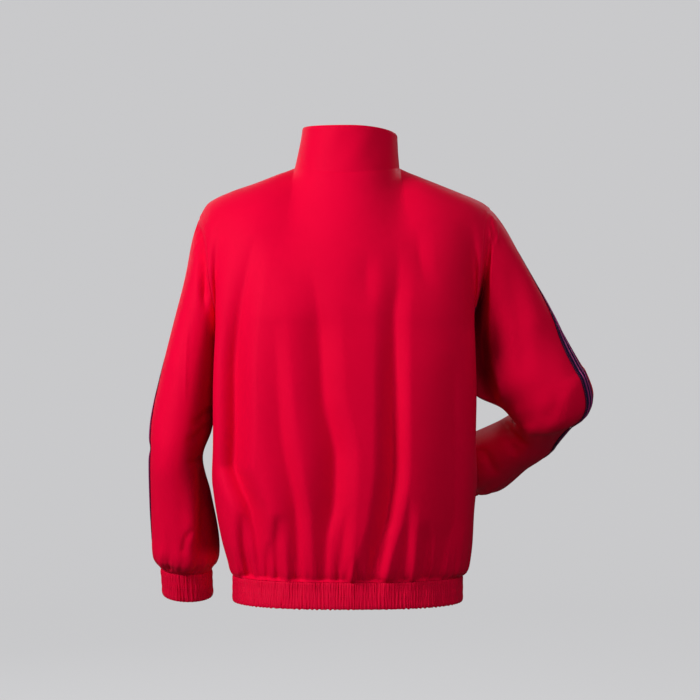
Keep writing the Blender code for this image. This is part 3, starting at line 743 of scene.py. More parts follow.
class WovenEffect:
    """The weave, slubs and soft crinkle that all the cloths share, and the painted shade that darkens a piece's colour
    where its fold attribute is set, built once as a node group.
    """

    def __init__(self) -> None:
        """Builds the group."""
        number, colour = "NodeSocketFloat", "NodeSocketColor"
        self.group, links, given, made = new_group(
            "woven cloth",
            {
                "Colour": (colour, (0.5, 0.5, 0.5, 1.0)),
                "Shade": (colour, (0.4, 0.4, 0.4, 1.0)),
                "Thread Pitch": (number, 0.0004),
                "Thread Height": (number, 0.2),
                "Crinkle": (number, 0.3),
                "Rough": (number, 0.5),
            },
            {"Colour": colour, "Roughness": number, "Height": number},
        )
        uv = links.add("ShaderNodeTexCoord").outputs["UV"]
        place = links.add("ShaderNodeTexCoord").outputs["Object"]
        split = links.add("ShaderNodeSeparateXYZ", {0: uv})
        turn = links.math("DIVIDE", TAU, given.outputs["Thread Pitch"])
        warp = links.math("SINE", links.math("MULTIPLY", split.outputs["X"], turn))
        weft = links.math("SINE", links.math("MULTIPLY", split.outputs["Y"], turn))
        weave = links.math("MULTIPLY", warp, weft)
        crinkle = links.add(
            "ShaderNodeTexNoise", {"Vector": place, "Scale": 95.0, "Detail": 4.0, "Roughness": 0.55}
        ).outputs["Fac"]
        cloud = links.add("ShaderNodeTexNoise", {"Vector": place, "Scale": 9.0, "Detail": 2.0}).outputs["Fac"]
        slubs = links.add("ShaderNodeMapping", {"Vector": uv, "Scale": (90.0, 1400.0, 1.0)})
        slub = links.add("ShaderNodeTexNoise", {"Vector": slubs.outputs[0], "Scale": 1.0, "Detail": 1.0})
        thread = links.math("MULTIPLY", weave, given.outputs["Thread Height"])
        soft = links.math("MULTIPLY", crinkle, given.outputs["Crinkle"])
        height = links.math("ADD", links.math("ADD", thread, soft), links.math("MULTIPLY", slub.outputs["Fac"], 0.08))
        share = links.math("MULTIPLY", links.math("SUBTRACT", cloud, 0.35), 1.1)
        share = links.math("ADD", share, links.math("MULTIPLY", slub.outputs["Fac"], 0.12))
        mix = links.add("ShaderNodeMix", data_type="RGBA")
        for key, value in (("Factor", share), ("A", given.outputs["Colour"]), ("B", given.outputs["Shade"])):
            links.tree.links.new(value, next(s for s in mix.inputs if s.name == key and s.enabled))
        rough = links.math("ADD", given.outputs["Rough"], links.math("MULTIPLY", crinkle, 0.06))
        shown = next(s for s in mix.outputs if s.enabled)
        # Painted shade: the colour is darkened by up to nine tenths by the fold attribute.
        fold = links.add("ShaderNodeAttribute", attribute_name="fold").outputs["Fac"]
        left = links.math("SUBTRACT", 1.0, links.math("MULTIPLY", fold, 0.90))
        shaded = links.add("ShaderNodeVectorMath", {0: shown, "Scale": left}, operation="SCALE")
        links.fill(made, {"Colour": shaded.outputs[0], "Roughness": rough, "Height": height})


@dataclass(frozen=True)
class ClothFinish:
    """A woven cloth: its colours, shine and thread."""

    name: str
    colour: Triple
    shade: Triple
    rough: float
    specular: float
    tint: Triple
    sheen: float
    sheen_tint: Triple
    pitch: float = 0.45 * MM
    thread: float = 0.25
    crinkle: float = 0.35
    bump: float = 0.25

    def build(self, woven: WovenEffect) -> bpy.types.Material:
        """Makes the material.

        Args:
            woven: The shared cloth effect.

        Returns:
            The finished material.
        """
        made, links, shader = new_material(self.name)
        effect = links.add(
            "ShaderNodeGroup",
            {
                "Colour": (*self.colour, 1.0),
                "Shade": (*self.shade, 1.0),
                "Thread Pitch": self.pitch,
                "Thread Height": self.thread,
                "Crinkle": self.crinkle,
                "Rough": self.rough,
            },
            node_tree=woven.group,
        )
        bump = links.add(
            "ShaderNodeBump", {"Height": effect.outputs["Height"], "Strength": self.bump, "Distance": 0.5 * MM}
        )
        links.fill(
            shader,
            {
                "Specular IOR Level": self.specular,
                "Specular Tint": (*self.tint, 1.0),
                "Sheen Weight": self.sheen,
                "Sheen Roughness": 0.4,
                "Sheen Tint": (*self.sheen_tint, 1.0),
                "Base Color": effect.outputs["Colour"],
                "Roughness": effect.outputs["Roughness"],
                "Normal": bump.outputs["Normal"],
            },
        )
        return made


@dataclass(frozen=True)
class HardFinish:
    """Metal or moulded plastic with fine scratches and wear."""

    name: str
    colour: Triple
    worn: Triple
    rough: float
    metallic: float
    grain: float = 900.0

    def build(self) -> bpy.types.Material:
        """Makes the material.

        Returns:
            The finished material.
        """
        made, links, shader = new_material(self.name)
        place = links.add("ShaderNodeTexCoord").outputs["Object"]
        stretch = links.add("ShaderNodeMapping", {"Vector": place, "Scale": (1.0, 1.0, 0.15)})
        noise = links.add(
            "ShaderNodeTexNoise", {"Vector": stretch.outputs[0], "Scale": self.grain, "Detail": 3.0}
        ).outputs["Fac"]
        ramp = links.add("ShaderNodeValToRGB", {"Fac": noise})
        low, high = ramp.color_ramp.elements
        low.color, high.color = (*self.colour, 1.0), (*self.worn, 1.0)
        low.position = 0.42
        bump = links.add("ShaderNodeBump", {"Height": noise, "Strength": 0.15, "Distance": 0.1 * MM})
        rough = links.math("ADD", links.math("MULTIPLY", noise, 0.16), self.rough - 0.08)
        links.fill(
            shader,
            {
                "Metallic": self.metallic,
                "Base Color": ramp.outputs[0],
                "Roughness": rough,
                "Normal": bump.outputs["Normal"],
            },
        )
        return made


CRIMSON = ClothFinish(
    "crimson shell", (0.86, 0.0005, 0.040), (0.76, 0.0003, 0.032), 0.52, 0.16, (1.0, 0.05, 0.16), 0.03,
    (1.0, 0.10, 0.20),
)
CRIMSON_RIB = ClothFinish(
    "crimson ruched band", (0.82, 0.0010, 0.040), (0.72, 0.0005, 0.032), 0.48, 0.35, (1.0, 0.10, 0.20), 0.05,
    (1.0, 0.15, 0.25), crinkle=0.6, bump=0.35,
)
NAVY = ClothFinish(
    "navy tape", (0.012, 0.008, 0.050), (0.007, 0.005, 0.028), 0.55, 0.20, (0.7, 0.7, 1.0), 0.02,
    (0.5, 0.5, 0.9), pitch=0.8 * MM, thread=0.8, bump=0.5,
)
REVERSE = ClothFinish(
    "navy reverse side", (0.014, 0.014, 0.060), (0.009, 0.009, 0.040), 0.55, 0.35, (0.8, 0.8, 1.0), 0.10,
    (0.5, 0.5, 0.9),
)
MAUVE = ClothFinish(
    "mauve piping", (0.40, 0.035, 0.20), (0.30, 0.025, 0.15), 0.45, 0.40, (1.0, 0.8, 1.0), 0.10,
    (1.0, 0.8, 0.9), pitch=0.6 * MM, thread=0.6,
)
THREAD = ClothFinish(
    "crimson thread", (0.80, 0.010, 0.050), (0.62, 0.004, 0.030), 0.42, 0.50, (1.0, 0.6, 0.65), 0.10,
    (1.0, 0.5, 0.6), pitch=0.3 * MM, thread=0.7,
)
ZIP_TAPE = ClothFinish(
    "zip tape", (0.55, 0.002, 0.026), (0.42, 0.001, 0.018), 0.60, 0.30, (1.0, 0.5, 0.5), 0.10,
    (1.0, 0.4, 0.4), pitch=0.7 * MM, thread=0.9, bump=0.5,
)
TEETH = HardFinish("moulded zip teeth", (0.50, 0.002, 0.022), (0.62, 0.010, 0.040), 0.36, 0.0)
METAL = HardFinish("satin zip metal", (0.46, 0.46, 0.49), (0.62, 0.62, 0.64), 0.32, 1.0)


# ---------------------------------------------------------------- making pieces


def new_object(name: str, data: bpy.types.ID) -> bpy.types.Object:
    """Puts new data into the scene as an object.

    Args:
        name: The object's name.
        data: Its mesh, lamp or camera.

    Returns:
        The object.
    """
    thing = bpy.data.objects.new(name, data)
    bpy.context.scene.collection.objects.link(thing)
    return thing


def dress(piece: bpy.types.Object, node: str = "") -> None:
    """Hangs a piece on the garment and hides the CAD node that it stands for.

    Args:
        piece: The finished piece, which rides on the garment.
        node: The CAD node that it stands for.
    """
    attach(piece, "garment")
    if node:
        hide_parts(node)
    LOG.info("%s: %d faces", piece.name, len(piece.data.polygons))


def shell(
    name: str,
    grid: Grid,
    thickness: float,
    finishes: Sequence[bpy.types.Material],
    flip: bool,
    ring: bool = False,
) -> bpy.types.Object:
    """Makes a cloth piece: a surface through the grid with its own UV map in metres, and a wall inside it.

    Args:
        name: The piece's name.
        grid: Rows of points on its outer face.
        thickness: The cloth's thickness.
        finishes: The outer finish, then the inner one where it has one.
        flip: Whether the faces are turned to face outwards.
        ring: Whether each row closes on itself.

    Returns:
        The new object.
    """
    rows, columns = grid.shape[:2]
    i, j = np.meshgrid(np.arange(rows - 1), np.arange(columns if ring else columns - 1), indexing="ij")
    i, j = i.ravel(), j.ravel()
    k = (j + 1) % columns
    corners = np.stack([i * columns + j, i * columns + k, (i + 1) * columns + k, (i + 1) * columns + j], axis=1)
    closed = np.concatenate([grid, grid[:, :1]], axis=1) if ring else grid
    down = walk(grid).mean(axis=1)
    middle = walk(closed[rows // 2])
    u = np.stack([middle[j], middle[j + 1], middle[j + 1], middle[j]], axis=1)
    v = np.stack([down[i], down[i], down[i + 1], down[i + 1]], axis=1)
    if flip:
        corners, u, v = corners[:, ::-1], u[:, ::-1], v[:, ::-1]
    mesh = bpy.data.meshes.new(name)
    mesh.from_pydata(grid.reshape(-1, 3).tolist(), [], corners.tolist())
    layer = mesh.uv_layers.new(name="cloth")
    layer.data.foreach_set("uv", np.stack([u, v], axis=-1).ravel())
    mesh.shade_smooth()
    ends = np.empty(2 * len(mesh.edges), dtype=np.int32)
    mesh.edges.foreach_get("vertices", ends)
    row, place = np.divmod(ends.reshape(-1, 2), columns)
    border = np.all(row == 0, axis=1) | np.all(row == rows - 1, axis=1)
    if not ring:
        border |= np.all(place == 0, axis=1) | np.all(place == columns - 1, axis=1)
    mesh.attributes.new("sharp_edge", "BOOLEAN", "EDGE").data.foreach_set("value", border)
    for finish in finishes:
        mesh.materials.append(finish)
    piece = new_object(name, mesh)
    wall = piece.modifiers.new("wall", "SOLIDIFY")
    wall.thickness = thickness
    wall.offset = -1.0
    wall.use_rim = True
    wall.material_offset = len(finishes) - 1
    return piece


class PathMaker:
    """Geometry Nodes that lay stitches, teeth or piping along paths that are drawn on the cloth."""

    def __init__(self) -> None:
        """Builds the two trees."""
        self.repeat = self._repeat_tree()
        self.tube = self._tube_tree()

    @staticmethod
    def _start(name: str, step: str, numbers: Sequence[str]) -> tuple[Links, bpy.types.Node, bpy.types.NodeSocket]:
        """Starts a geometry tree with named number inputs, and lays even points along its path.

        Args:
            name: The tree's name.
            step: The number input that sets the distance from point to point.
            numbers: The other number inputs.

        Returns:
            The tree's links helper, its input node and the path with its even points.
        """
        tree = bpy.data.node_groups.new(name, "GeometryNodeTree")
        kinds = {"Path": "Geometry", step: "Float", **dict.fromkeys(numbers, "Float"), "Finish": "Material"}
        for key, kind in kinds.items():
            tree.interface.new_socket(key, in_out="INPUT", socket_type="NodeSocket" + kind)
        tree.interface.new_socket("Geometry", in_out="OUTPUT", socket_type="NodeSocketGeometry")
        links = Links(tree)
        given = links.add("NodeGroupInput")
        curve = links.add("GeometryNodeMeshToCurve", {"Mesh": given.outputs["Path"]})
        spaced = links.add(
            "GeometryNodeResampleCurve", {"Curve": curve.outputs[0], "Length": given.outputs[step]}, mode="LENGTH"
        )
        return links, given, spaced.outputs[0]

    @staticmethod
    def _end(links: Links, given: bpy.types.Node, shape: bpy.types.NodeSocket) -> bpy.types.NodeTree:
        """Ends a tree in real faces with their finish.

        Args:
            links: The tree's links helper.
            given: Its input node.
            shape: The socket that gives the shape.

        Returns:
            The finished tree.
        """
        real = links.add("GeometryNodeRealizeInstances", {0: shape})
        dressed = links.add(
            "GeometryNodeSetMaterial", {"Geometry": real.outputs[0], "Material": given.outputs["Finish"]}
        )
        links.add("NodeGroupOutput", {0: dressed.outputs[0]})
        return links.tree

    def _repeat_tree(self) -> bpy.types.NodeTree:
        """Builds the tree that repeats a small rounded bead along a path.

        Returns:
            The tree.
        """
        links, given, spaced = self._start("beads along a path", "Pitch", ("Across", "Deep", "Long"))
        bead = links.add("GeometryNodeMeshUVSphere", {"Segments": 6, "Rings": 4, "Radius": 0.5})
        sizes = {axis: given.outputs[key] for axis, key in zip("XYZ", ("Across", "Deep", "Long"))}
        size = links.add("ShaderNodeCombineXYZ", sizes)
        tangent = links.add("GeometryNodeInputTangent")
        turned = links.add("FunctionNodeAlignRotationToVector", {"Vector": tangent.outputs[0]}, axis="Z")
        beads = links.add(
            "GeometryNodeInstanceOnPoints",
            {
                "Points": spaced,
                "Instance": bead.outputs["Mesh"],
                "Rotation": turned.outputs[0],
                "Scale": size.outputs[0],
            },
        )
        return self._end(links, given, beads.outputs[0])

    def _tube_tree(self) -> bpy.types.NodeTree:
        """Builds the tree that runs a round cord along a path.

        Returns:
            The tree.
        """
        links, given, spaced = self._start("cord along a path", "Spacing", ("Radius",))
        ring = links.add("GeometryNodeCurvePrimitiveCircle", {"Resolution": 8, "Radius": given.outputs["Radius"]})
        tube = links.add(
            "GeometryNodeCurveToMesh", {"Curve": spaced, "Profile Curve": ring.outputs[0], "Fill Caps": True}
        )
        smooth = links.add("GeometryNodeSetShadeSmooth", {0: tube.outputs[0]})
        return self._end(links, given, smooth.outputs[0])

    def run(
        self,
        name: str,
        tree: bpy.types.NodeTree,
        paths: Sequence[Grid],
        finish: bpy.types.Material,
        sizes: dict[str, float],
    ) -> bpy.types.Object:
        """Runs a tree along paths and keeps the result as a plain mesh.

        Args:
            name: The piece's name.
            tree: One of the maker's trees.
            paths: The paths' points.
            finish: The material.
            sizes: The tree's number inputs, by name.

        Returns:
            The new object.
        """
        points, edges, start = [], [], 0
        for path in paths:
            points += path.tolist()
            edges += [(start + n, start + n + 1) for n in range(len(path) - 1)]
            start += len(path)
        mesh = bpy.data.meshes.new(name + "_path")
        mesh.from_pydata(points, edges, [])
        line = new_object(name + "_path", mesh)
        nodes = line.modifiers.new("made", "NODES")
        nodes.node_group = tree
        values = {**sizes, "Finish": finish}
        for item in tree.interface.items_tree:
            if item.item_type == "SOCKET" and item.in_out == "INPUT" and item.name in values:
                nodes[item.identifier] = values[item.name]
        graph = bpy.context.evaluated_depsgraph_get()
        made = bpy.data.meshes.new_from_object(line.evaluated_get(graph))
        made.name = name
        line.modifiers.clear()
        bpy.data.objects.remove(line)
        made.shade_smooth()
        if not made.materials:
            made.materials.append(finish)
        return new_object(name, made)


@dataclass
class Workroom:
    """The finishes and makers that every sub-assembly shares."""

    woven: WovenEffect = field(default_factory=WovenEffect)
    paths: PathMaker = field(default_factory=PathMaker)
    finishes: dict[str, bpy.types.Material] = field(default_factory=dict)

    def cloth(self, finish: ClothFinish) -> bpy.types.Material:
        """Gives a cloth's material, built the first time that it is asked for.

        Args:
            finish: The cloth.

        Returns:
            Its material.
        """
        if finish.name not in self.finishes:
            self.finishes[finish.name] = finish.build(self.woven)
        return self.finishes[finish.name]

    def hard(self, finish: HardFinish) -> bpy.types.Material:
        """Gives a hard material, built the first time that it is asked for.

        Args:
            finish: The metal or plastic.

        Returns:
            Its material.
        """
        if finish.name not in self.finishes:
            self.finishes[finish.name] = finish.build()
        return self.finishes[finish.name]

    def stitches(self, name: str, paths: Sequence[Grid], pitch: float = 3.0 * MM) -> None:
        """Sews a run of stitches along paths.

        Args:
            name: The piece's name.
            paths: The paths' points.
            pitch: The distance from stitch to stitch.
        """
        sizes = {"Pitch": pitch, "Across": 0.42 * MM, "Deep": 0.42 * MM, "Long": 0.74 * pitch}
        piece = self.paths.run(name, self.paths.repeat, paths, self.cloth(THREAD), sizes)
        dress(piece)


def lifted(path: Grid, outwards: Grid, rise: float = STITCH_RISE) -> Grid:
    """Lifts a path off the cloth along its normals."""
    return path + outwards * rise


# ---------------------------------------------------------------- torso


@dataclass
class Torso:
    """The back and the two fronts, from the hem band's seam up to the neck and the shoulders."""

    room: Workroom
    squareness: float = 2.5
    underarm: float = -0.245
    hem_seam: float = -0.636
    quarter: float = 0.287
    press_reach: float = 0.055
    shoulder_y: float = -0.010
    neck_share: float = 0.40
    neck_middle: float = 0.003
    neck_half: float = 0.083
    neck_back: float = 0.075
    neck_front: float = -0.088
    neck_back_height: float = -0.010
    neck_front_height: float = -0.072
    zip_half: float = 6.0 * MM
    cloth: float = 0.9 * MM
    columns: int = 108
    lower_rows: int = 104
    upper_rows: int = 81
    seam_roll: float = 0.9 * MM
    seam_reach: float = 20.0 * MM
    fine_gather: float = 0.75 * MM
    broad_gather: float = 1.5 * MM
    fine_pitch: float = 0.0078
    broad_pitch: float = 0.021
    gather_height: float = 0.018
    gather_spread: float = 0.022
    spread_pitch: float = 0.031
    seam_pucker: float = 0.55 * MM
    pucker_pitch: float = 0.012
    pucker_reach: float = 0.016
    pucker_run: float = 0.9
    soft_columns: int = 9

    def __post_init__(self) -> None:
        """Works out how the turn round a quarter section goes with the distance walked."""
        self.turns = np.linspace(0.0, QUARTER, 721)
        self.power = 2.0 / self.squareness
        x, y = 0.21 * np.cos(self.turns) ** self.power, 0.14 * np.sin(self.turns) ** self.power
        walked = walk(np.stack([x, y], axis=-1))
        self.walked = walked / walked[-1]
        self.back = self._back_panel()
        self.fronts = {side: self._front_panel(side) for side in Side}

    def points(self, side: Grid, face: Face, share: Grid, height: Grid) -> Grid:
        """Gives points of the torso below the underarm.

        Args:
            side: The sign of X for each point.
            face: The back or the front.
            share: 0 in the middle of the panel, 1 at its side seam.
            height: The points' height.

        Returns:
            The points.
        """
        turn = np.interp(1.0 - share, self.walked, self.turns)
        left, right, deep, press = (
            flow(column(SECTIONS, "height"), column(SECTIONS, name), height)
            for name in ("left", "right", face.name.lower(), "press")
        )
        y = face.value * deep * np.sin(turn) ** self.power
        dent = 1.0 - press * bell(y / self.press_reach)
        x = side * np.where(np.asarray(side) > 0, left, right) * np.cos(turn) ** self.power * dent
        return np.stack([x, y, height + 0.0 * x], axis=-1)

    def top_line(self, side: int, face: Face, share: Grid) -> Grid:
        """Gives the line where a panel ends: half of the neckline, then the shoulder seam.

        Args:
            side: The sign of X.
            face: The back or the front.
            share: 0 in the middle of the panel, 1 at the shoulder point.

        Returns:
            The points of the line.
        """
        turn = np.clip(share / self.neck_share, 0.0, 1.0) * QUARTER
        deep = self.neck_back if face is Face.BACK else self.neck_front
        low = self.neck_back_height if face is Face.BACK else self.neck_front_height
        wide = self.neck_middle + side * self.neck_half
        neck = neck_arc(turn, wide, self.shoulder_y, deep, SHOULDERS[0].left_z, low)
        along = np.clip((share - self.neck_share) / (1.0 - self.neck_share), 0.0, 1.0)
        name = "left" if side > 0 else "right"
        x, z = (flow(column(SHOULDERS, "share"), column(SHOULDERS, name + axis), along) for axis in ("_x", "_z"))
        seam = np.stack([side * x, self.shoulder_y + 0.0 * along, z], axis=-1)
        return np.where((share < self.neck_share)[..., None], neck, seam)

    def _upper(self, side: int, face: Face, share: Grid, climb: float) -> Grid:
        """Gives points between the underarm's height and the top line.

        The cloth leaves the underarm upwards, or round the arm, and arrives along the neck's rise, over the
        shoulder, or into the shoulder's point.

        Args:
            side: The sign of X.
            face: The back or the front.
            share: 0 in the middle of the panel, 1 at its side.
            climb: 0 at the underarm, 1 at the top line.

        Returns:
            One row of points.
        """
        start = self.points(side, face, share, self.underarm)
        end = self.top_line(side, face, share)
        armhole = (ease((share - 0.70) / 0.30) ** 2)[..., None]
        shoulder = ease((share - 0.55 * self.neck_share) / (0.75 * self.neck_share))[..., None]
        way = face.value
        rise = np.array([0.0, 0.0, 0.27])
        round_arm = np.array([0.070 * side, way * 0.270, 0.020])
        start_slope = rise + (round_arm - rise) * armhole
        to_neck = np.array([0.0, -way * 0.09, 0.185])
        over_shoulder = np.array([0.0, -way * 0.29, 0.0])
        into_point = np.array([side * 0.050, -way * 0.230, 0.020])
        end_slope = to_neck + (over_shoulder - to_neck) * shoulder
        end_slope = end_slope + (into_point - end_slope) * armhole
        return hermite(climb, start, start_slope, end, end_slope)

    def _ruching(self, at: Grid, z: Grid) -> Grid:
        """Makes the fine uneven puckers above the hem band's seam.

        Args:
            at: Each point's distance round from the panel's middle.
            z: Its height.

        Returns:
            The depth at each point.
        """
        above = z - self.hem_seam
        reach = self.gather_height + self.gather_spread * (0.5 + 0.5 * wobble(at, self.spread_pitch, 11))
        fine = self.fine_gather * wobble(at, self.fine_pitch, 5) * bell(above / reach)
        broad = self.broad_gather * wobble(at, self.broad_pitch, 9) * bell(above / (1.7 * reach))
        return (fine + broad) * ease((above + 0.001) / 0.003)

    def drawn_in(self, grid: Grid, outwards: Grid, face: Face, seam: Grid) -> Grid:
        """Works out how far the main folds draw each point straight in. At the hem's seam a third is left.

        Args:
            grid: The points.
            outwards: Their normals.
            face: The back or the front.
            seam: Their distance from the side seam.

        Returns:
            The depth at each point.
        """
        free = (1.0 - bell(seam / self.seam_reach)) * ease((grid[..., 2] - self.hem_seam + 0.004) / 0.010)
        return valley_depth(grid, outwards, face) * free

    def _half(self, side: int, face: Face) -> Grid:
        """Makes one side of a panel as rows from the hem seam up to the top line.

        Args:
            side: The sign of X.
            face: The back or the front.

        Returns:
            The rows of points, from the middle out.
        """
        shares = np.linspace(0.0, 1.0, self.columns + 1)
        climbs = np.linspace(0.0, 1.0, self.upper_rows + 1)
        up = np.linspace(0.0, 1.0, self.lower_rows + 1)[:-1]
        heights = self.hem_seam + (self.underarm - self.hem_seam) * (0.55 * up + 0.45 * up**2)
        lower = [self.points(side, face, shares, height) for height in heights]
        upper = [self._upper(side, face, shares, climb) for climb in climbs]
        grid = np.array(lower + upper)
        self._soften(grid, shares)
        at = side * shares * self.quarter + 0.0 * grid[..., 2]
        seam = (1.0 - shares) * self.quarter
        climb = np.concatenate([np.zeros(len(lower)), climbs])[:, None]
        depth = self._ruching(at, grid[..., 2]) * (1.0 - ease(climb))
        outwards = normals(grid, flip=side * face.value > 0)
        below_top = 1.0 - ease((climb - 0.80) / 0.20)
        free = (1.0 - bell(seam / self.seam_reach)) * below_top
        drawn = self.drawn_in(grid, outwards, face, seam) * below_top
        depth += crease_depth(grid, outwards, TORSO_CREASES[face]) * free
        rise = np.linspace(0.0, 1.0, len(grid))[:, None] * self.pucker_run
        pucker = wobble(rise + 0.0 * depth, self.pucker_pitch, 23 + side * face.value) * self.seam_pucker
        depth += pucker * bell(seam / self.pucker_reach) * ease(climb / 0.10) * ease(seam / 0.004)
        depth += self.rolled(seam) * ease(climb / 0.04)
        made = grid - outwards * depth[..., None]
        made[..., 1] -= face.value * drawn
        return made

    def rolled(self, away: Grid) -> Grid:
        """Gives how far the cloth rolls in at a distance from a seam."""
        return self.seam_roll * bell(away / (1.6 * MM))

    def _soften(self, grid: Grid, shares: Grid) -> None:
        """Takes the ridge out of a half panel below the neck's corner, and leaves its edges where they are.

        Args:
            grid: The half panel, which is changed in place.
            shares: The place of each column, 0 at the panel's middle and 1 at its side.
        """
        reach = 3 * self.soft_columns
        weight = np.exp(-0.5 * (np.arange(-reach, reach + 1) / self.soft_columns) ** 2)
        weight /= weight.sum()
        upper = grid[-(self.upper_rows + 1):]
        climb = np.linspace(0.0, 1.0, self.upper_rows + 1)[:, None]
        free = ease(climb / 0.20) * ease((1.0 - climb) / 0.22) * ease((1.0 - shares) / 0.30)
        for axis in (1, 2):
            padded = np.pad(upper[..., axis], ((0, 0), (reach, reach)), mode="reflect")
            soft = np.array([np.convolve(row, weight, "valid") for row in padded])
            upper[..., axis] += free * (soft - upper[..., axis])

    def _back_panel(self) -> Grid:
        """Joins the back's two halves at the middle."""
        left, right = (self._half(side.value, Face.BACK) for side in Side)
        return np.concatenate([right[:, :0:-1], left], axis=1)

    def _front_panel(self, side: Side) -> Grid:
        """Makes one front. Its front edge stands clear of the zip.

        Args:
            side: The wearer's side.

        Returns:
            The rows of points, from the zip out.
        """
        grid = self._half(side.value, Face.FRONT)
        shares = np.linspace(0.0, 1.0, self.columns + 1)
        grid[..., 0] += side.value * self.zip_half * (1.0 - ease(shares / 0.12))
        return grid

    def armhole(self, side: Side, around: Grid, tape_width: float) -> tuple[Grid, Grid]:
        """Gives the armhole's loop and the way that the cloth runs into it.

        Args:
            side: The wearer's side.
            around: Places round the armhole, from 0 to 18, starting at the shoulder point and going down the back.
            tape_width: The length of the front's edge that places 16 to 18 share.

        Returns:
            The loop's points and unit directions.
        """
        back, front = self.back, self.fronts[side]
        edge, inner = (-1, -7) if side is Side.LEFT else (0, 6)
        rows = slice(-(self.upper_rows + 1), None)
        climbs = np.linspace(0.0, 1.0, self.upper_rows + 1)
        edges = (back[rows, edge], front[rows, -1])
        ways = (unit(back[rows, edge] - back[rows, inner]), unit(front[rows, -1] - front[rows, -7]))
        walked = walk(edges[1])
        full = walked[-1]
        underarm = PLACES / 2
        place = np.interp(around, [underarm, TAPE_PLACE, PLACES], [0.0, full - tape_width, full])
        climb = np.where(around <= underarm, 1.0 - around / underarm, np.interp(place, walked, climbs))
        on_back = (around <= underarm)[:, None]
        loop, directions = (
            np.where(on_back, *(sample(climb, climbs, line) for line in lines)) for lines in (edges, ways)
        )
        return loop, directions

    def make(self) -> None:
        """Makes the three panels and the seams' stitches."""
        finishes = (self.room.cloth(CRIMSON), self.room.cloth(REVERSE))
        dress(shell("back_cloth", self.back, self.cloth, finishes, True), "back")
        for side, grid in self.fronts.items():
            name = f"front_{side.name.lower()}"
            piece = shell(name + "_cloth", grid, self.cloth, finishes, side is Side.RIGHT)
            dress(piece, name)
        self._sew()

    def _sew(self) -> None:
        """Sews the lines beside the shoulder seams, the armholes and the zip."""
        paths = []
        out = normals(self.back, flip=True)
        neck = round(self.neck_share * self.columns)
        middle = self.columns
        for span in (slice(0, middle - neck), slice(middle + neck, None)):
            paths.append(lifted(self.back[-4, span], out[-4, span]))
        rows = slice(-(self.upper_rows + 1), -3)
        for edge in (2, -3):
            paths.append(lifted(self.back[rows, edge], out[rows, edge]))
        for side in Side:
            grid = self.fronts[side]
            out = normals(grid, flip=side is Side.RIGHT)
            paths.append(lifted(grid[rows, -3], out[rows, -3]))
            paths.append(lifted(grid[2:-2, 2], out[2:-2, 2]))
        self.room.stitches("torso_stitches", paths)


# ---------------------------------------------------------------- sleeves

Ring = tuple[Grid, Grid, Grid, float, float, float, float]


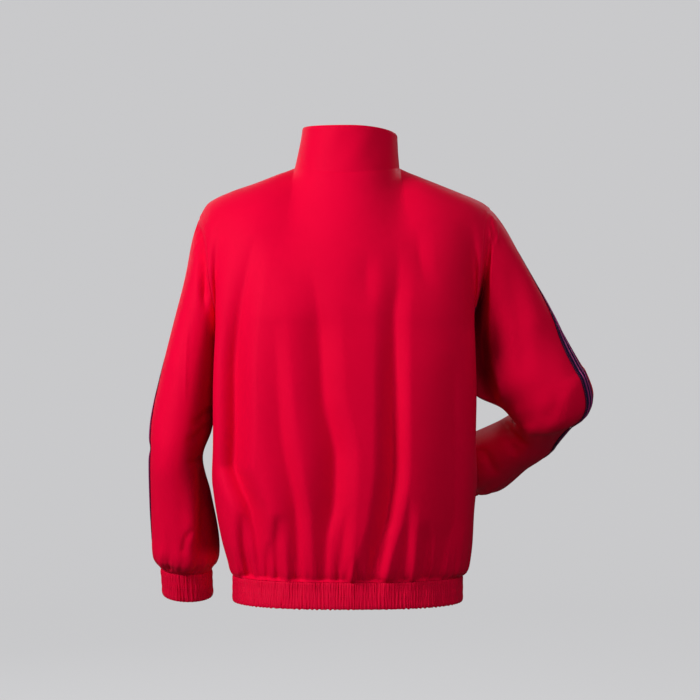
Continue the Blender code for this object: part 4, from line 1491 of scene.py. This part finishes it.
@dataclass
class Sleeve:
    """A set-in sleeve with the tape down its outer side and its ruched cuff."""

    room: Workroom
    torso: Torso
    side: Side
    cloth: float = 0.9 * MM
    tape_cloth: float = 0.7 * MM
    tape_width: float = 27.0 * MM
    tape_rise: float = 1.3 * MM
    tape_tuck: float = 8.0 * MM
    cuff_cloth: float = 1.8 * MM
    cuff_length: float = 44.0 * MM
    cuff_roll: float = 1.2 * MM
    elbow_crease: float = 2.0 * MM
    mean_radius: float = 0.055
    gather: float = 1.5 * MM
    gather_reach: float = 0.055
    gather_waves: tuple[Triple, ...] = ((1.0, 5.0, 0.6), (0.8, 8.0, 2.1), (0.7, 13.0, 4.0))
    fine_gather: float = 0.8 * MM
    fine_pitch: float = 0.0086
    fine_reach: float = 0.026
    pucker: float = 0.6 * MM
    pucker_pitch: float = 0.012
    pucker_reach: float = 0.024
    inner_shade: float = 0.70
    rib: float = 0.80 * MM
    piping: float = 1.0 * MM
    piping_shares: tuple[float, float] = (0.34, 0.66)
    steps: int = 9
    ribs: int = 46

    def __post_init__(self) -> None:
        """Works out the sleeve's surface."""
        self.around = np.arange(0, PLACES * self.steps) / self.steps
        self.flip = self.side is Side.LEFT
        self.loop, self.ways = self.torso.armhole(self.side, self.around, self.tape_width)
        self.rings = self._left_rings() if self.side is Side.LEFT else self._right_rings()
        self.grid = self._creased(self._surface())

    @property
    def name(self) -> str:
        """The side's name, as the frame's nodes end."""
        return self.side.name.lower()

    def _angles(self, size: float, tape: float) -> Grid:
        """Gives the turn of each column of a ring, from the tape's back edge round to its front edge.

        Args:
            size: The ring's mean radius.
            tape: The turn at which the tape's back edge lies, in degrees.

        Returns:
            The turns, in radians.
        """
        first = math.radians(tape)
        knots = [first, first + TAU - self.tape_width / size, first + TAU]
        return np.interp(self.around, [0.0, TAPE_PLACE, PLACES], knots)

    def _ring(self, ring: Ring) -> Grid:
        """Gives a ring's points.

        Args:
            ring: The ring's centre, axes, half sizes and turns.

        Returns:
            One point for each column.
        """
        centre, out, back, wide, deep, tape, turned = ring
        angle = self._angles((wide + deep) / 2, tape) - turned
        return centre + wide * np.cos(angle)[:, None] * out + deep * np.sin(angle)[:, None] * back

    def _stations(self, stations: Sequence[Station], start: Grid) -> list[Ring]:
        """Sets rings square to the way that the arm runs.

        Args:
            stations: The table of rings.
            start: The point that the arm comes from.

        Returns:
            The rings.
        """
        sign = self.side.value
        centres = [np.array([sign * s.x, s.y, s.z]) for s in stations]
        path = [start] + centres
        rings = []
        for i, (station, centre) in enumerate(zip(stations, centres)):
            travel = (path[i + 2] if i + 2 < len(path) else centre) - path[i]
            lean = math.radians(station.lean)
            out = np.array([sign * math.cos(lean), 0.0, math.sin(lean)])
            back = unit(np.cross(travel, out))
            back = back if back[1] > 0 else -back
            rings.append((centre, out, back, station.wide, station.deep, station.tape, 0.0))
        return rings

    def _coarse_start(self) -> Grid:
        """Gives the middle of the armhole, from the same eighteen places as the solid's."""
        return self.loop[:: self.steps].mean(axis=0)

    def _left_rings(self) -> list[Ring]:
        """Gives the rings of the hanging arm."""
        return self._stations(LEFT_ARM, self._coarse_start())

    def _right_rings(self) -> list[Ring]:
        """Gives the rings of the bent arm, fanned round the elbow's inner crease.

        Returns:
            The rings, from the shoulder to the cuff.
        """
        rings = self._stations(RIGHT_UPPER_ARM, self._coarse_start())
        centre, out, back, wide = rings[-1][:4]
        travel = Vector(centre - rings[-2][0]).normalized()
        hinge = travel.cross(FOREARM).normalized()
        angle = travel.angle(FOREARM)
        outer = hinge.cross(travel).normalized()
        outer = outer if outer.dot(FOREARM) < 0 else -outer
        along = np.array(-hinge if hinge.y < 0 else hinge)
        turned = math.atan2(outer.dot(Vector(back)), outer.dot(Vector(out)))
        pivot = Vector(centre) - outer * (wide + self.elbow_crease)
        for bend in ELBOW:
            reach = Matrix.Rotation(angle * bend.turned, 3, hinge) @ outer
            middle = pivot + reach * (bend.across / 2 + self.elbow_crease)
            rings.append((np.array(middle), np.array(reach), along, bend.across / 2, bend.deep, bend.tape, turned))
        for part in RIGHT_FOREARM:
            centre = np.array(pivot + reach * (ELBOW[-1].across / 2 + self.elbow_crease) + FOREARM * part.along)
            rings.append((centre, np.array(reach), along, part.across / 2, part.deep, part.tape, turned))
        return rings

    def _surface(self) -> Grid:
        """Runs the sleeve's rows from the armhole, through the rings, to the cuff.

        Returns:
            The rows of points.
        """
        stack = np.array([self.loop] + [self._ring(ring) for ring in self.rings])
        centres = stack[:, :: self.steps].mean(axis=1)
        knots = walk(centres)
        share = np.minimum(self.around, PLACES - self.around) / (PLACES / 2)
        straight = (stack[1] - stack[0]) / (knots[1] - knots[0])
        follow = (0.75 * (1.0 - ease(share)))[:, None]
        pace = np.linalg.norm(straight, axis=1, keepdims=True)
        first = (1.0 - follow) * straight + follow * self.ways * pace
        tables = LEFT_ARM if self.side is Side.LEFT else RIGHT_UPPER_ARM + ELBOW + RIGHT_FOREARM
        places = [knots[0]]
        for start, end, row in zip(knots[:-1], knots[1:], tables):
            count = row.rows * self.steps
            places += list(start + (end - start) * np.arange(1, count + 1) / count)
        return spline(knots, stack, places, first)

    def _creased(self, grid: Grid) -> Grid:
        """Lays the creases, armhole puckers and cuff gathers into the sleeve.

        Args:
            grid: The sleeve's plain rows.

        Returns:
            The creased rows. Painted shade for each point, darker on the sleeve's inner side and in the crevice beside
            the torso, is kept for the finish.
        """
        outwards = normals(grid, self.flip, ring=True)
        depth = crease_depth(grid, outwards, SLEEVE_CREASES[self.side])
        down = walk(grid.mean(axis=1))[:, None]
        up = down[-1] - down
        turn = self.around[None] * TAU / PLACES
        round_at = turn * self.mean_radius
        seed = 40 + self.side.value
        tape_middle = (TAPE_PLACE + PLACES) / 2 * TAU / PLACES
        from_tape = np.abs((turn - tape_middle + math.pi) % TAU - math.pi)
        away_from_tape = ease((from_tape - 0.55) / 0.35)
        joined = ease(turn / 0.3) * ease((TAU - turn) / 0.3)
        closed = sum(high * np.cos(turn * count + shift) for high, count, shift in self.gather_waves)
        depth += self.gather * closed * bell(up / self.gather_reach) * ease(up / 0.012) * away_from_tape
        fine = wobble(round_at, self.fine_pitch, seed) * joined
        depth += self.fine_gather * fine * bell(up / self.fine_reach) * ease(up / 0.004) * away_from_tape
        puckered = self.pucker * wobble(round_at, self.pucker_pitch, seed + 7) * joined
        depth += puckered * bell(down / self.pucker_reach) * ease(down / 0.004)
        rolled = self.torso.rolled(down)
        depth = (depth + rolled) * ease(down / 0.010) * ease(up / 0.010)
        made = grid - outwards * np.where(down < 4.0 * MM, rolled, depth)[..., None]
        # Painted shade: the sleeve's inner side, turned away from the light, is darkened down to a set height, and on
        # the right sleeve the crevice beside the torso is darkened too.
        inner = ease((-self.side.value * outwards[..., 0] - 0.15) / 0.65) * ease((down - 0.03) / 0.06)
        shaded_down_to = LEFT_SHADE_END if self.side is Side.LEFT else RIGHT_SHADE_END
        self.fold = self.inner_shade * inner * ease((made[..., 2] - shaded_down_to) / 0.03)
        if self.side is Side.RIGHT:
            self.fold = np.maximum(self.fold, self._press_beside_torso(made, ease(down / 0.030)))
        return made

    @staticmethod
    def _press_beside_torso(grid: Grid, free: Grid) -> Grid:
        """Presses the back of the sleeve in beside the torso, which leaves its outline where it is.

        Args:
            grid: The sleeve's points, which are changed in place.
            free: How much each point may move.

        Returns:
            How deep in the crevice each point lies, from 0 to 1; this also sets the painted shade there.
        """
        heights, edges, shares = np.array(CREVICE).T
        x, y, z = grid[..., 0].copy(), grid[..., 1], grid[..., 2]
        past = x - flow(heights, edges, z)
        near = (y > 0.0) & (z > heights[-1]) & (z < heights[0])
        pressed = np.where(near, flow(heights, shares, z) * ease((past + 0.004) / 0.009) * free, 0.0)
        grid[..., 1] = y * (1.0 - pressed * (1.0 + 0.5 * ease(past / 0.018)))
        grid[..., 0] += HOLLOW_DEPTH * bell((z - HOLLOW_HEIGHT) / HOLLOW_REACH) * ease((x + 0.213) / 0.014)
        return pressed * ease((past - 0.001) / 0.006)

    def _tape_grid(self) -> Grid:
        """Makes the tape's surface on the sleeve's own, moved out. Near the shoulder it lies further forward.

        Returns:
            The rows of points across the tape.
        """
        outwards = normals(self.grid, self.flip, ring=True)
        raised = self.grid + outwards * self.tape_rise
        first, last = 12 * self.steps, 2 * self.steps
        belt = np.concatenate([raised[:, first:], raised[:, :last]], axis=1)
        walked = walk(belt, axis=1)
        tuck = self.tape_tuck * (1.0 - ease((walk(raised[:, 0]) - 0.045) / 0.060))
        back_edge = walked[:, PLACES * self.steps - first] - tuck
        across = np.linspace(-self.tape_width, 0.0, 2 * self.steps + 1)
        strip = [sample(edge + across, places, row) for edge, places, row in zip(back_edge, walked, belt)]
        return np.array(strip)[1:-2]

    def _cuff_grid(self) -> Grid:
        """Makes the cuff: a short tube with uneven ribs that are held by rows of elastic.

        Returns:
            The rows of points round the cuff.
        """
        start = self.rings[-1]
        if self.side is Side.LEFT:
            end = self._stations((LEFT_CUFF_END,), np.array(LEFT_CUFF_START))[0]
        else:
            end = (start[0] + np.array(FOREARM) * self.cuff_length, *start[1:])
        angle = np.linspace(0.0, TAU, self.ribs * 7, endpoint=False)
        rows = []
        for share in np.linspace(0.0, 1.0, RUCHED_ROWS):
            centre, out, back = (a + (b - a) * share for a, b in zip(start[:3], end[:3]))
            wide, deep = (start[n] + (end[n] - start[n]) * share for n in (3, 4))
            held = 0.55 + 0.45 * np.abs(np.sin(3.0 * math.pi * share))
            rib = self.rib * held * ruching(angle, share, self.ribs, 60 + self.side.value)
            edge = -self.cuff_roll * (bell(share / 0.05) + 0.7 * bell((1.0 - share) / 0.04)) - 0.3 * MM * (1.0 - held)
            across, deeper = (wide + rib + edge) * np.cos(angle), (deep + rib + edge) * np.sin(angle)
            rows.append(centre + across[:, None] * out + deeper[:, None] * back)
        return np.array(rows)

    def make(self) -> None:
        """Makes the sleeve, its tape with two pipings, its cuff and their stitches."""
        room = self.room
        strip, cuff_grid = self._tape_grid(), self._cuff_grid()
        crimson, reverse, navy, rib = (room.cloth(finish) for finish in (CRIMSON, REVERSE, NAVY, CRIMSON_RIB))
        for part, grid, cloth, finishes, slot, ring in (
            ("sleeve", self.grid, self.cloth, (crimson, reverse), "shell", True),
            ("sleeve_tape", strip, self.tape_cloth, (navy,), "tape", False),
            ("cuff", cuff_grid, self.cuff_cloth, (rib, reverse), "rib", True),
        ):
            name = f"{part}_{self.name}"
            piece = shell(name + "_cloth", grid, cloth, finishes, self.flip, ring)
            if part == "sleeve":
                # The painted shade goes to the finish as a point attribute.
                piece.data.attributes.new("fold", "FLOAT", "POINT").data.foreach_set("value", self.fold.ravel())
            dress(piece, name)
        self._trim(strip, cuff_grid)

    def _trim(self, strip: Grid, cuff_grid: Grid) -> None:
        """Adds the tape's pipings and the rows of stitches.

        Args:
            strip: The tape's rows.
            cuff_grid: The cuff's rows.
        """
        room = self.room
        outwards = normals(strip, self.flip)
        columns = strip.shape[1]
        lines = []
        for share in self.piping_shares:
            low, part = divmod(share * (columns - 1), 1.0)
            low = int(low)
            line = strip[:, low] * (1 - part) + strip[:, low + 1] * part
            lines.append(lifted(line, outwards[:, low], 0.25 * MM))
        sizes = {"Radius": self.piping, "Spacing": 4 * MM}
        dress(room.paths.run(f"piping_{self.name}", room.paths.tube, lines, room.cloth(MAUVE), sizes))
        edges = [lifted(strip[:, n], outwards[:, n], 0.10 * MM) for n in (1, columns - 2)]
        seam = slice(None, TAPE_PLACE * self.steps - 2)
        edges.append(lifted(self.grid[4, seam], normals(self.grid, self.flip, ring=True)[4, seam]))
        stitched = lifted(cuff_grid, normals(cuff_grid, self.flip, ring=True), 0.1 * MM)
        edges += [np.concatenate([stitched[row, ::3], stitched[row, :1]]) for row in ELASTIC_ROWS]
        room.stitches(f"sleeve_{self.name}_stitches", edges)


# ---------------------------------------------------------------- collar, hem band and zip


@dataclass
class Trim:
    """The stand collar, the ruched hem band, and the zip that joins the two fronts."""

    room: Workroom
    torso: Torso
    collar_middle: float = -0.0015
    collar_half: float = 0.0750
    collar_back: float = 0.067
    collar_front: float = -0.083
    top_back: float = 0.0635
    top_left: float = 0.0675
    top_right: float = 0.0560
    top_front: float = -0.004
    hem: float = -0.677
    collar_wave: float = 0.9 * MM
    collar_pitch: float = 0.060
    collar_roll: float = 0.8 * MM
    band_roll: float = 1.1 * MM
    band_ribs: int = 222
    band_rib: float = 0.64 * MM
    ragged: float = 1.0 * MM
    ragged_pitch: float = 0.009
    band_cloth: float = 1.8 * MM
    collar_cloth: float = 1.9 * MM
    zip_width: float = 14.0 * MM
    tooth_pitch: float = 3.2 * MM
    tooth_apart: float = 1.9 * MM
    tooth: Triple = (3.4 * MM, 2.4 * MM, 1.9 * MM)

    def collar_grid(self) -> Grid:
        """Makes the collar's outer face, from the zip's right edge round the neck to its left edge.

        Returns:
            The rows of points, from the neckline up.
        """
        torso = self.torso
        share = np.linspace(0.0, 1.0, 73)
        turn = share * QUARTER
        halves = []
        for side, top_side in ((-1, self.top_right), (1, self.top_left)):
            pieces = []
            for face in (Face.BACK, Face.FRONT):
                base = torso.top_line(side, face, share * torso.neck_share)
                deep = self.collar_back if face is Face.BACK else self.collar_front
                middle = self.top_back if face is Face.BACK else self.top_front
                wide = self.collar_middle + side * self.collar_half
                top = neck_arc(turn, wide, torso.shoulder_y, deep, top_side, middle)
                if face is Face.FRONT:
                    for line in (base, top):
                        line[:, 0] += side * torso.zip_half * (1.0 - ease(share / 0.3))
                pieces.append((base, top))
            back, front = pieces
            halves.append([np.concatenate([a, b[-2::-1]]) for a, b in zip(back, front)])
        base, top = (np.concatenate([right[:0:-1], left]) for right, left in zip(halves[0], halves[1]))
        around = np.linspace(-1.0, 1.0, len(base))
        climb = np.linspace(0.0, 1.0, 31)[:, None]
        bulge = climb + 0.25 * climb * (1.0 - climb)
        grid = base + (top - base) * np.stack([bulge, bulge, climb], axis=-1)
        out = normals(grid, flip=True)
        soft = self.collar_wave * wobble(around * 0.26 + 0.04 * climb, self.collar_pitch, 3) * np.sin(math.pi * climb)
        roll = self.collar_roll * bell((1.0 - climb) / 0.02)
        return grid - out * (soft * ease((1.0 - np.abs(around)) / 0.05) + roll)[..., None]

    def band_grid(self) -> Grid:
        """Makes the hem band's outer face, ruched into uneven ribs that flatten near the zip.

        Returns:
            The rows of points, from the hem up.
        """
        torso = self.torso
        share = np.linspace(-1.0, 1.0, self.band_ribs * 6 + 1)
        side = np.where(share < 0, -1, 1)
        far = np.abs(share) * 2
        points = np.where(
            (far <= 1.0)[:, None],
            torso.points(side, Face.BACK, np.minimum(far, 1.0), torso.hem_seam),
            torso.points(side, Face.FRONT, np.clip(2.0 - far, 0.0, 1.0), torso.hem_seam),
        )
        points[:, 0] += side * torso.zip_half * (1.0 - ease((2.0 - far) / 0.10))
        along = unit(np.gradient(points, axis=0))
        out = np.stack([-along[:, 1], along[:, 0], 0.0 * share], axis=-1)
        seam = np.abs(far - 1.0) * torso.quarter
        pull = np.where(
            far <= 1.0,
            torso.drawn_in(points, out, Face.BACK, seam),
            -torso.drawn_in(points, out, Face.FRONT, seam),
        )
        strength = ease((2.0 - far) / 0.25) * (1.0 - 0.55 * bell((far - 1.0) / 0.14))
        rows = []
        for climb in np.linspace(0.0, 1.0, RUCHED_ROWS):
            held = 0.60 + 0.40 * np.abs(math.sin(3.0 * math.pi * climb))
            rib = self.band_rib * held * strength * ruching(share * math.pi, climb, self.band_ribs, 71)
            roll = self.band_roll * (bell((1.0 - climb) / 0.03) + 0.8 * bell(climb / 0.035))
            row = points + out * (rib - roll - 0.4 * MM * (1.0 - held))[:, None]
            ragged = self.ragged * wobble(share * 0.5, self.ragged_pitch, 17) * strength * (1.0 - climb) ** 3
            row[:, 1] -= pull * ease(climb)
            row[:, 2] = self.hem + (torso.hem_seam - 0.1 * MM - self.hem) * climb + ragged
            rows.append(row)
        return np.array(rows)

    def zip_path(self, collar: Grid, band: Grid) -> Grid:
        """Gives the middle of the front, from the hem up to the collar's top edge.

        Args:
            collar: The collar's rows.
            band: The hem band's rows.

        Returns:
            The points of the path.
        """
        front = self.torso.fronts[Side.LEFT]
        path = np.array([band[0, -1], band[-1, -1]] + list(front[1:-1:4, 0]) + list(collar[1::3, -1]))
        path[:, 0] = 0.0
        return path

    def make(self) -> None:
        """Makes the collar, the hem band and the zip with their stitches."""
        room = self.room
        collar, band = self.collar_grid(), self.band_grid()
        for name, grid, cloth, finish, slot in (
            ("collar", collar, self.collar_cloth, CRIMSON, "shell"),
            ("hem_band", band, self.band_cloth, CRIMSON_RIB, "rib"),
        ):
            piece = shell(name + "_cloth", grid, cloth, (room.cloth(finish), room.cloth(REVERSE)), True)
            dress(piece, name)
        self._zip(self.zip_path(collar, band))
        lines = [lifted(collar, normals(collar, flip=True))[28]]
        stitched = lifted(band, normals(band, flip=True))
        lines += [stitched[row, ::3] for row in ELASTIC_ROWS]
        room.stitches("collar_and_band_stitches", lines)

    def _zip(self, path: Grid) -> None:
        """Makes the zip's tape and its two rows of teeth, and dresses the slider and the pull.

        Args:
            path: The middle of the front.
        """
        room = self.room
        half = self.zip_width / 2
        fine = sample(np.linspace(0, len(path) - 1, 260), np.arange(len(path)), path)
        strip = np.stack([fine + np.array([x, 1.0 * MM, 0.0]) for x in np.linspace(-half, half, 9)], axis=1)
        tape = shell("zip_tape_cloth", strip, 0.8 * MM, (room.cloth(ZIP_TAPE),), False)
        dress(tape, "zip_chain")
        rows = [
            fine + np.array([x * self.tooth_apart / 2, 0.1 * MM, up * self.tooth_pitch / 2])
            for x, up in ((-1, 0), (1, 1))
        ]
        sizes = {"Pitch": self.tooth_pitch, **dict(zip(("Across", "Deep", "Long"), self.tooth))}
        dress(room.paths.run("zip_teeth", room.paths.repeat, rows, room.hard(TEETH), sizes))
        metal = room.hard(METAL)
        for node in ("zip_slider", "zip_pull"):
            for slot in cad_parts[node].material_slots:
                slot.material = metal


# ---------------------------------------------------------------- floor, light and camera


# Each lamp's name, place, size, power and colour.
LAMPS = (
    ("key", (1.85, 1.20, 0.62), 0.7, 46.0, (1.0, 0.98, 0.96)),
    ("fill", (-0.42, 2.68, 1.10), 1.6, 22.0, (1.0, 1.0, 1.0)),
    ("side", (-1.70, 1.50, 0.90), 1.2, 7.0, (1.0, 1.0, 1.0)),
    ("rim", (-1.05, -1.90, 0.95), 0.6, 7.0, (1.0, 0.96, 0.98)),
    ("front", (1.2, -2.6, 0.8), 1.8, 15.0, (1.0, 1.0, 1.0)),
)


@dataclass
class Studio:
    """The plain pale floor, the soft light and the camera."""

    floor_height: float = -1.35
    flat: float = 4.6
    sweep: float = 1.4
    wall: float = 4.5
    paper: float = 0.56
    eye: Triple = (-0.0016, 2.8, -0.284)
    lens: float = 91.14
    aim: Triple = (0.0, 0.0, -0.32)
    sky: float = 0.12

    def make(self) -> None:
        """Sets up the studio."""
        bpy.context.scene.view_settings.view_transform = "Standard"
        self._floor()
        self._world()
        for name, at, size, power, colour in LAMPS:
            self._light(name, at, size, power, colour)
        self._camera()

    def _floor(self) -> None:
        """Lays a round floor whose rim sweeps up into a wall, so that no horizon shows."""
        bend = np.linspace(0.0, QUARTER, 25)
        reach = np.concatenate([[0.02, 2.0, 4.0], self.flat + self.sweep * np.sin(bend), [self.flat + self.sweep]])
        rise = np.concatenate([[0.0, 0.0, 0.0], self.sweep * (1.0 - np.cos(bend)), [self.wall]])
        turn = np.linspace(0.0, TAU, 128, endpoint=False)
        height = self.floor_height + rise[:, None] + 0.0 * turn
        grid = np.stack([reach[:, None] * np.cos(turn), reach[:, None] * np.sin(turn), height], axis=-1)
        rows, columns = grid.shape[:2]
        faces = []
        for row in range(rows - 1):
            for i in range(columns):
                here, beyond, k = row * columns, (row + 1) * columns, (i + 1) % columns
                faces.append((here + i, beyond + i, beyond + k, here + k))
        faces.append(tuple(range(columns)))
        mesh = bpy.data.meshes.new("floor")
        mesh.from_pydata(grid.reshape(-1, 3).tolist(), [], faces)
        mesh.shade_smooth()
        mesh.materials.append(self._pale())
        floor = new_object("floor", mesh)

    def _pale(self) -> bpy.types.Material:
        """Makes the floor's pale matt paper, which the camera sees evenly lit.

        Returns:
            The material.
        """
        made, links, shader = new_material("pale floor")
        seen = links.add("ShaderNodeLightPath").outputs["Is Camera Ray"]
        links.fill(
            shader,
            {
                "Base Color": (0.16, 0.16, 0.165, 1.0),
                "Roughness": 0.9,
                "Specular IOR Level": 0.1,
                "Emission Color": (1.0, 1.0, 1.02, 1.0),
                "Emission Strength": links.math("MULTIPLY", seen, self.paper),
            },
        )
        return made

    def _world(self) -> None:
        """Lights the room dimly from above its walls."""
        world = bpy.data.worlds.new("studio")
        world.use_nodes = True
        dim = {"Color": (1.0, 1.0, 1.0, 1.0), "Strength": self.sky}
        Links(world.node_tree).fill(world.node_tree.nodes["Background"], dim)
        bpy.context.scene.world = world

    def _light(self, name: str, at: Triple, size: float, power: float, colour: Triple) -> None:
        """Hangs a soft square light that faces the chest.

        Args:
            name: The light's name.
            at: Where it hangs.
            size: The length of its sides.
            power: Its power in watts.
            colour: Its colour.
        """
        lamp = bpy.data.lights.new(name, "AREA")
        lamp.shape, lamp.size, lamp.energy, lamp.color = "SQUARE", size, power, colour
        thing = new_object(name, lamp)
        thing.location = at
        thing.rotation_euler = (Vector(self.aim) - Vector(at)).to_track_quat("-Z", "Y").to_euler()

    def _camera(self) -> None:
        """Sets the camera behind the wearer, at the height of the jacket's middle."""
        seen = bpy.data.cameras.new("camera")
        seen.lens, seen.sensor_width = self.lens, 36.0
        seen.clip_start, seen.clip_end = 0.05, 60.0
        camera = new_object("camera", seen)
        camera.location = self.eye
        camera.rotation_euler = (QUARTER, 0.0, math.pi)
        bpy.context.scene.camera = camera


def main() -> None:
    """Builds the jacket piece by piece, logging each piece's face count, and sets up the studio."""
    logging.basicConfig(level=logging.INFO, format="%(message)s")
    room = Workroom()
    torso = Torso(room)
    torso.make()
    for side in Side:
        Sleeve(room, torso, side).make()
    Trim(room, torso).make()
    Studio().make()


if __name__ == "__main__":
    main()
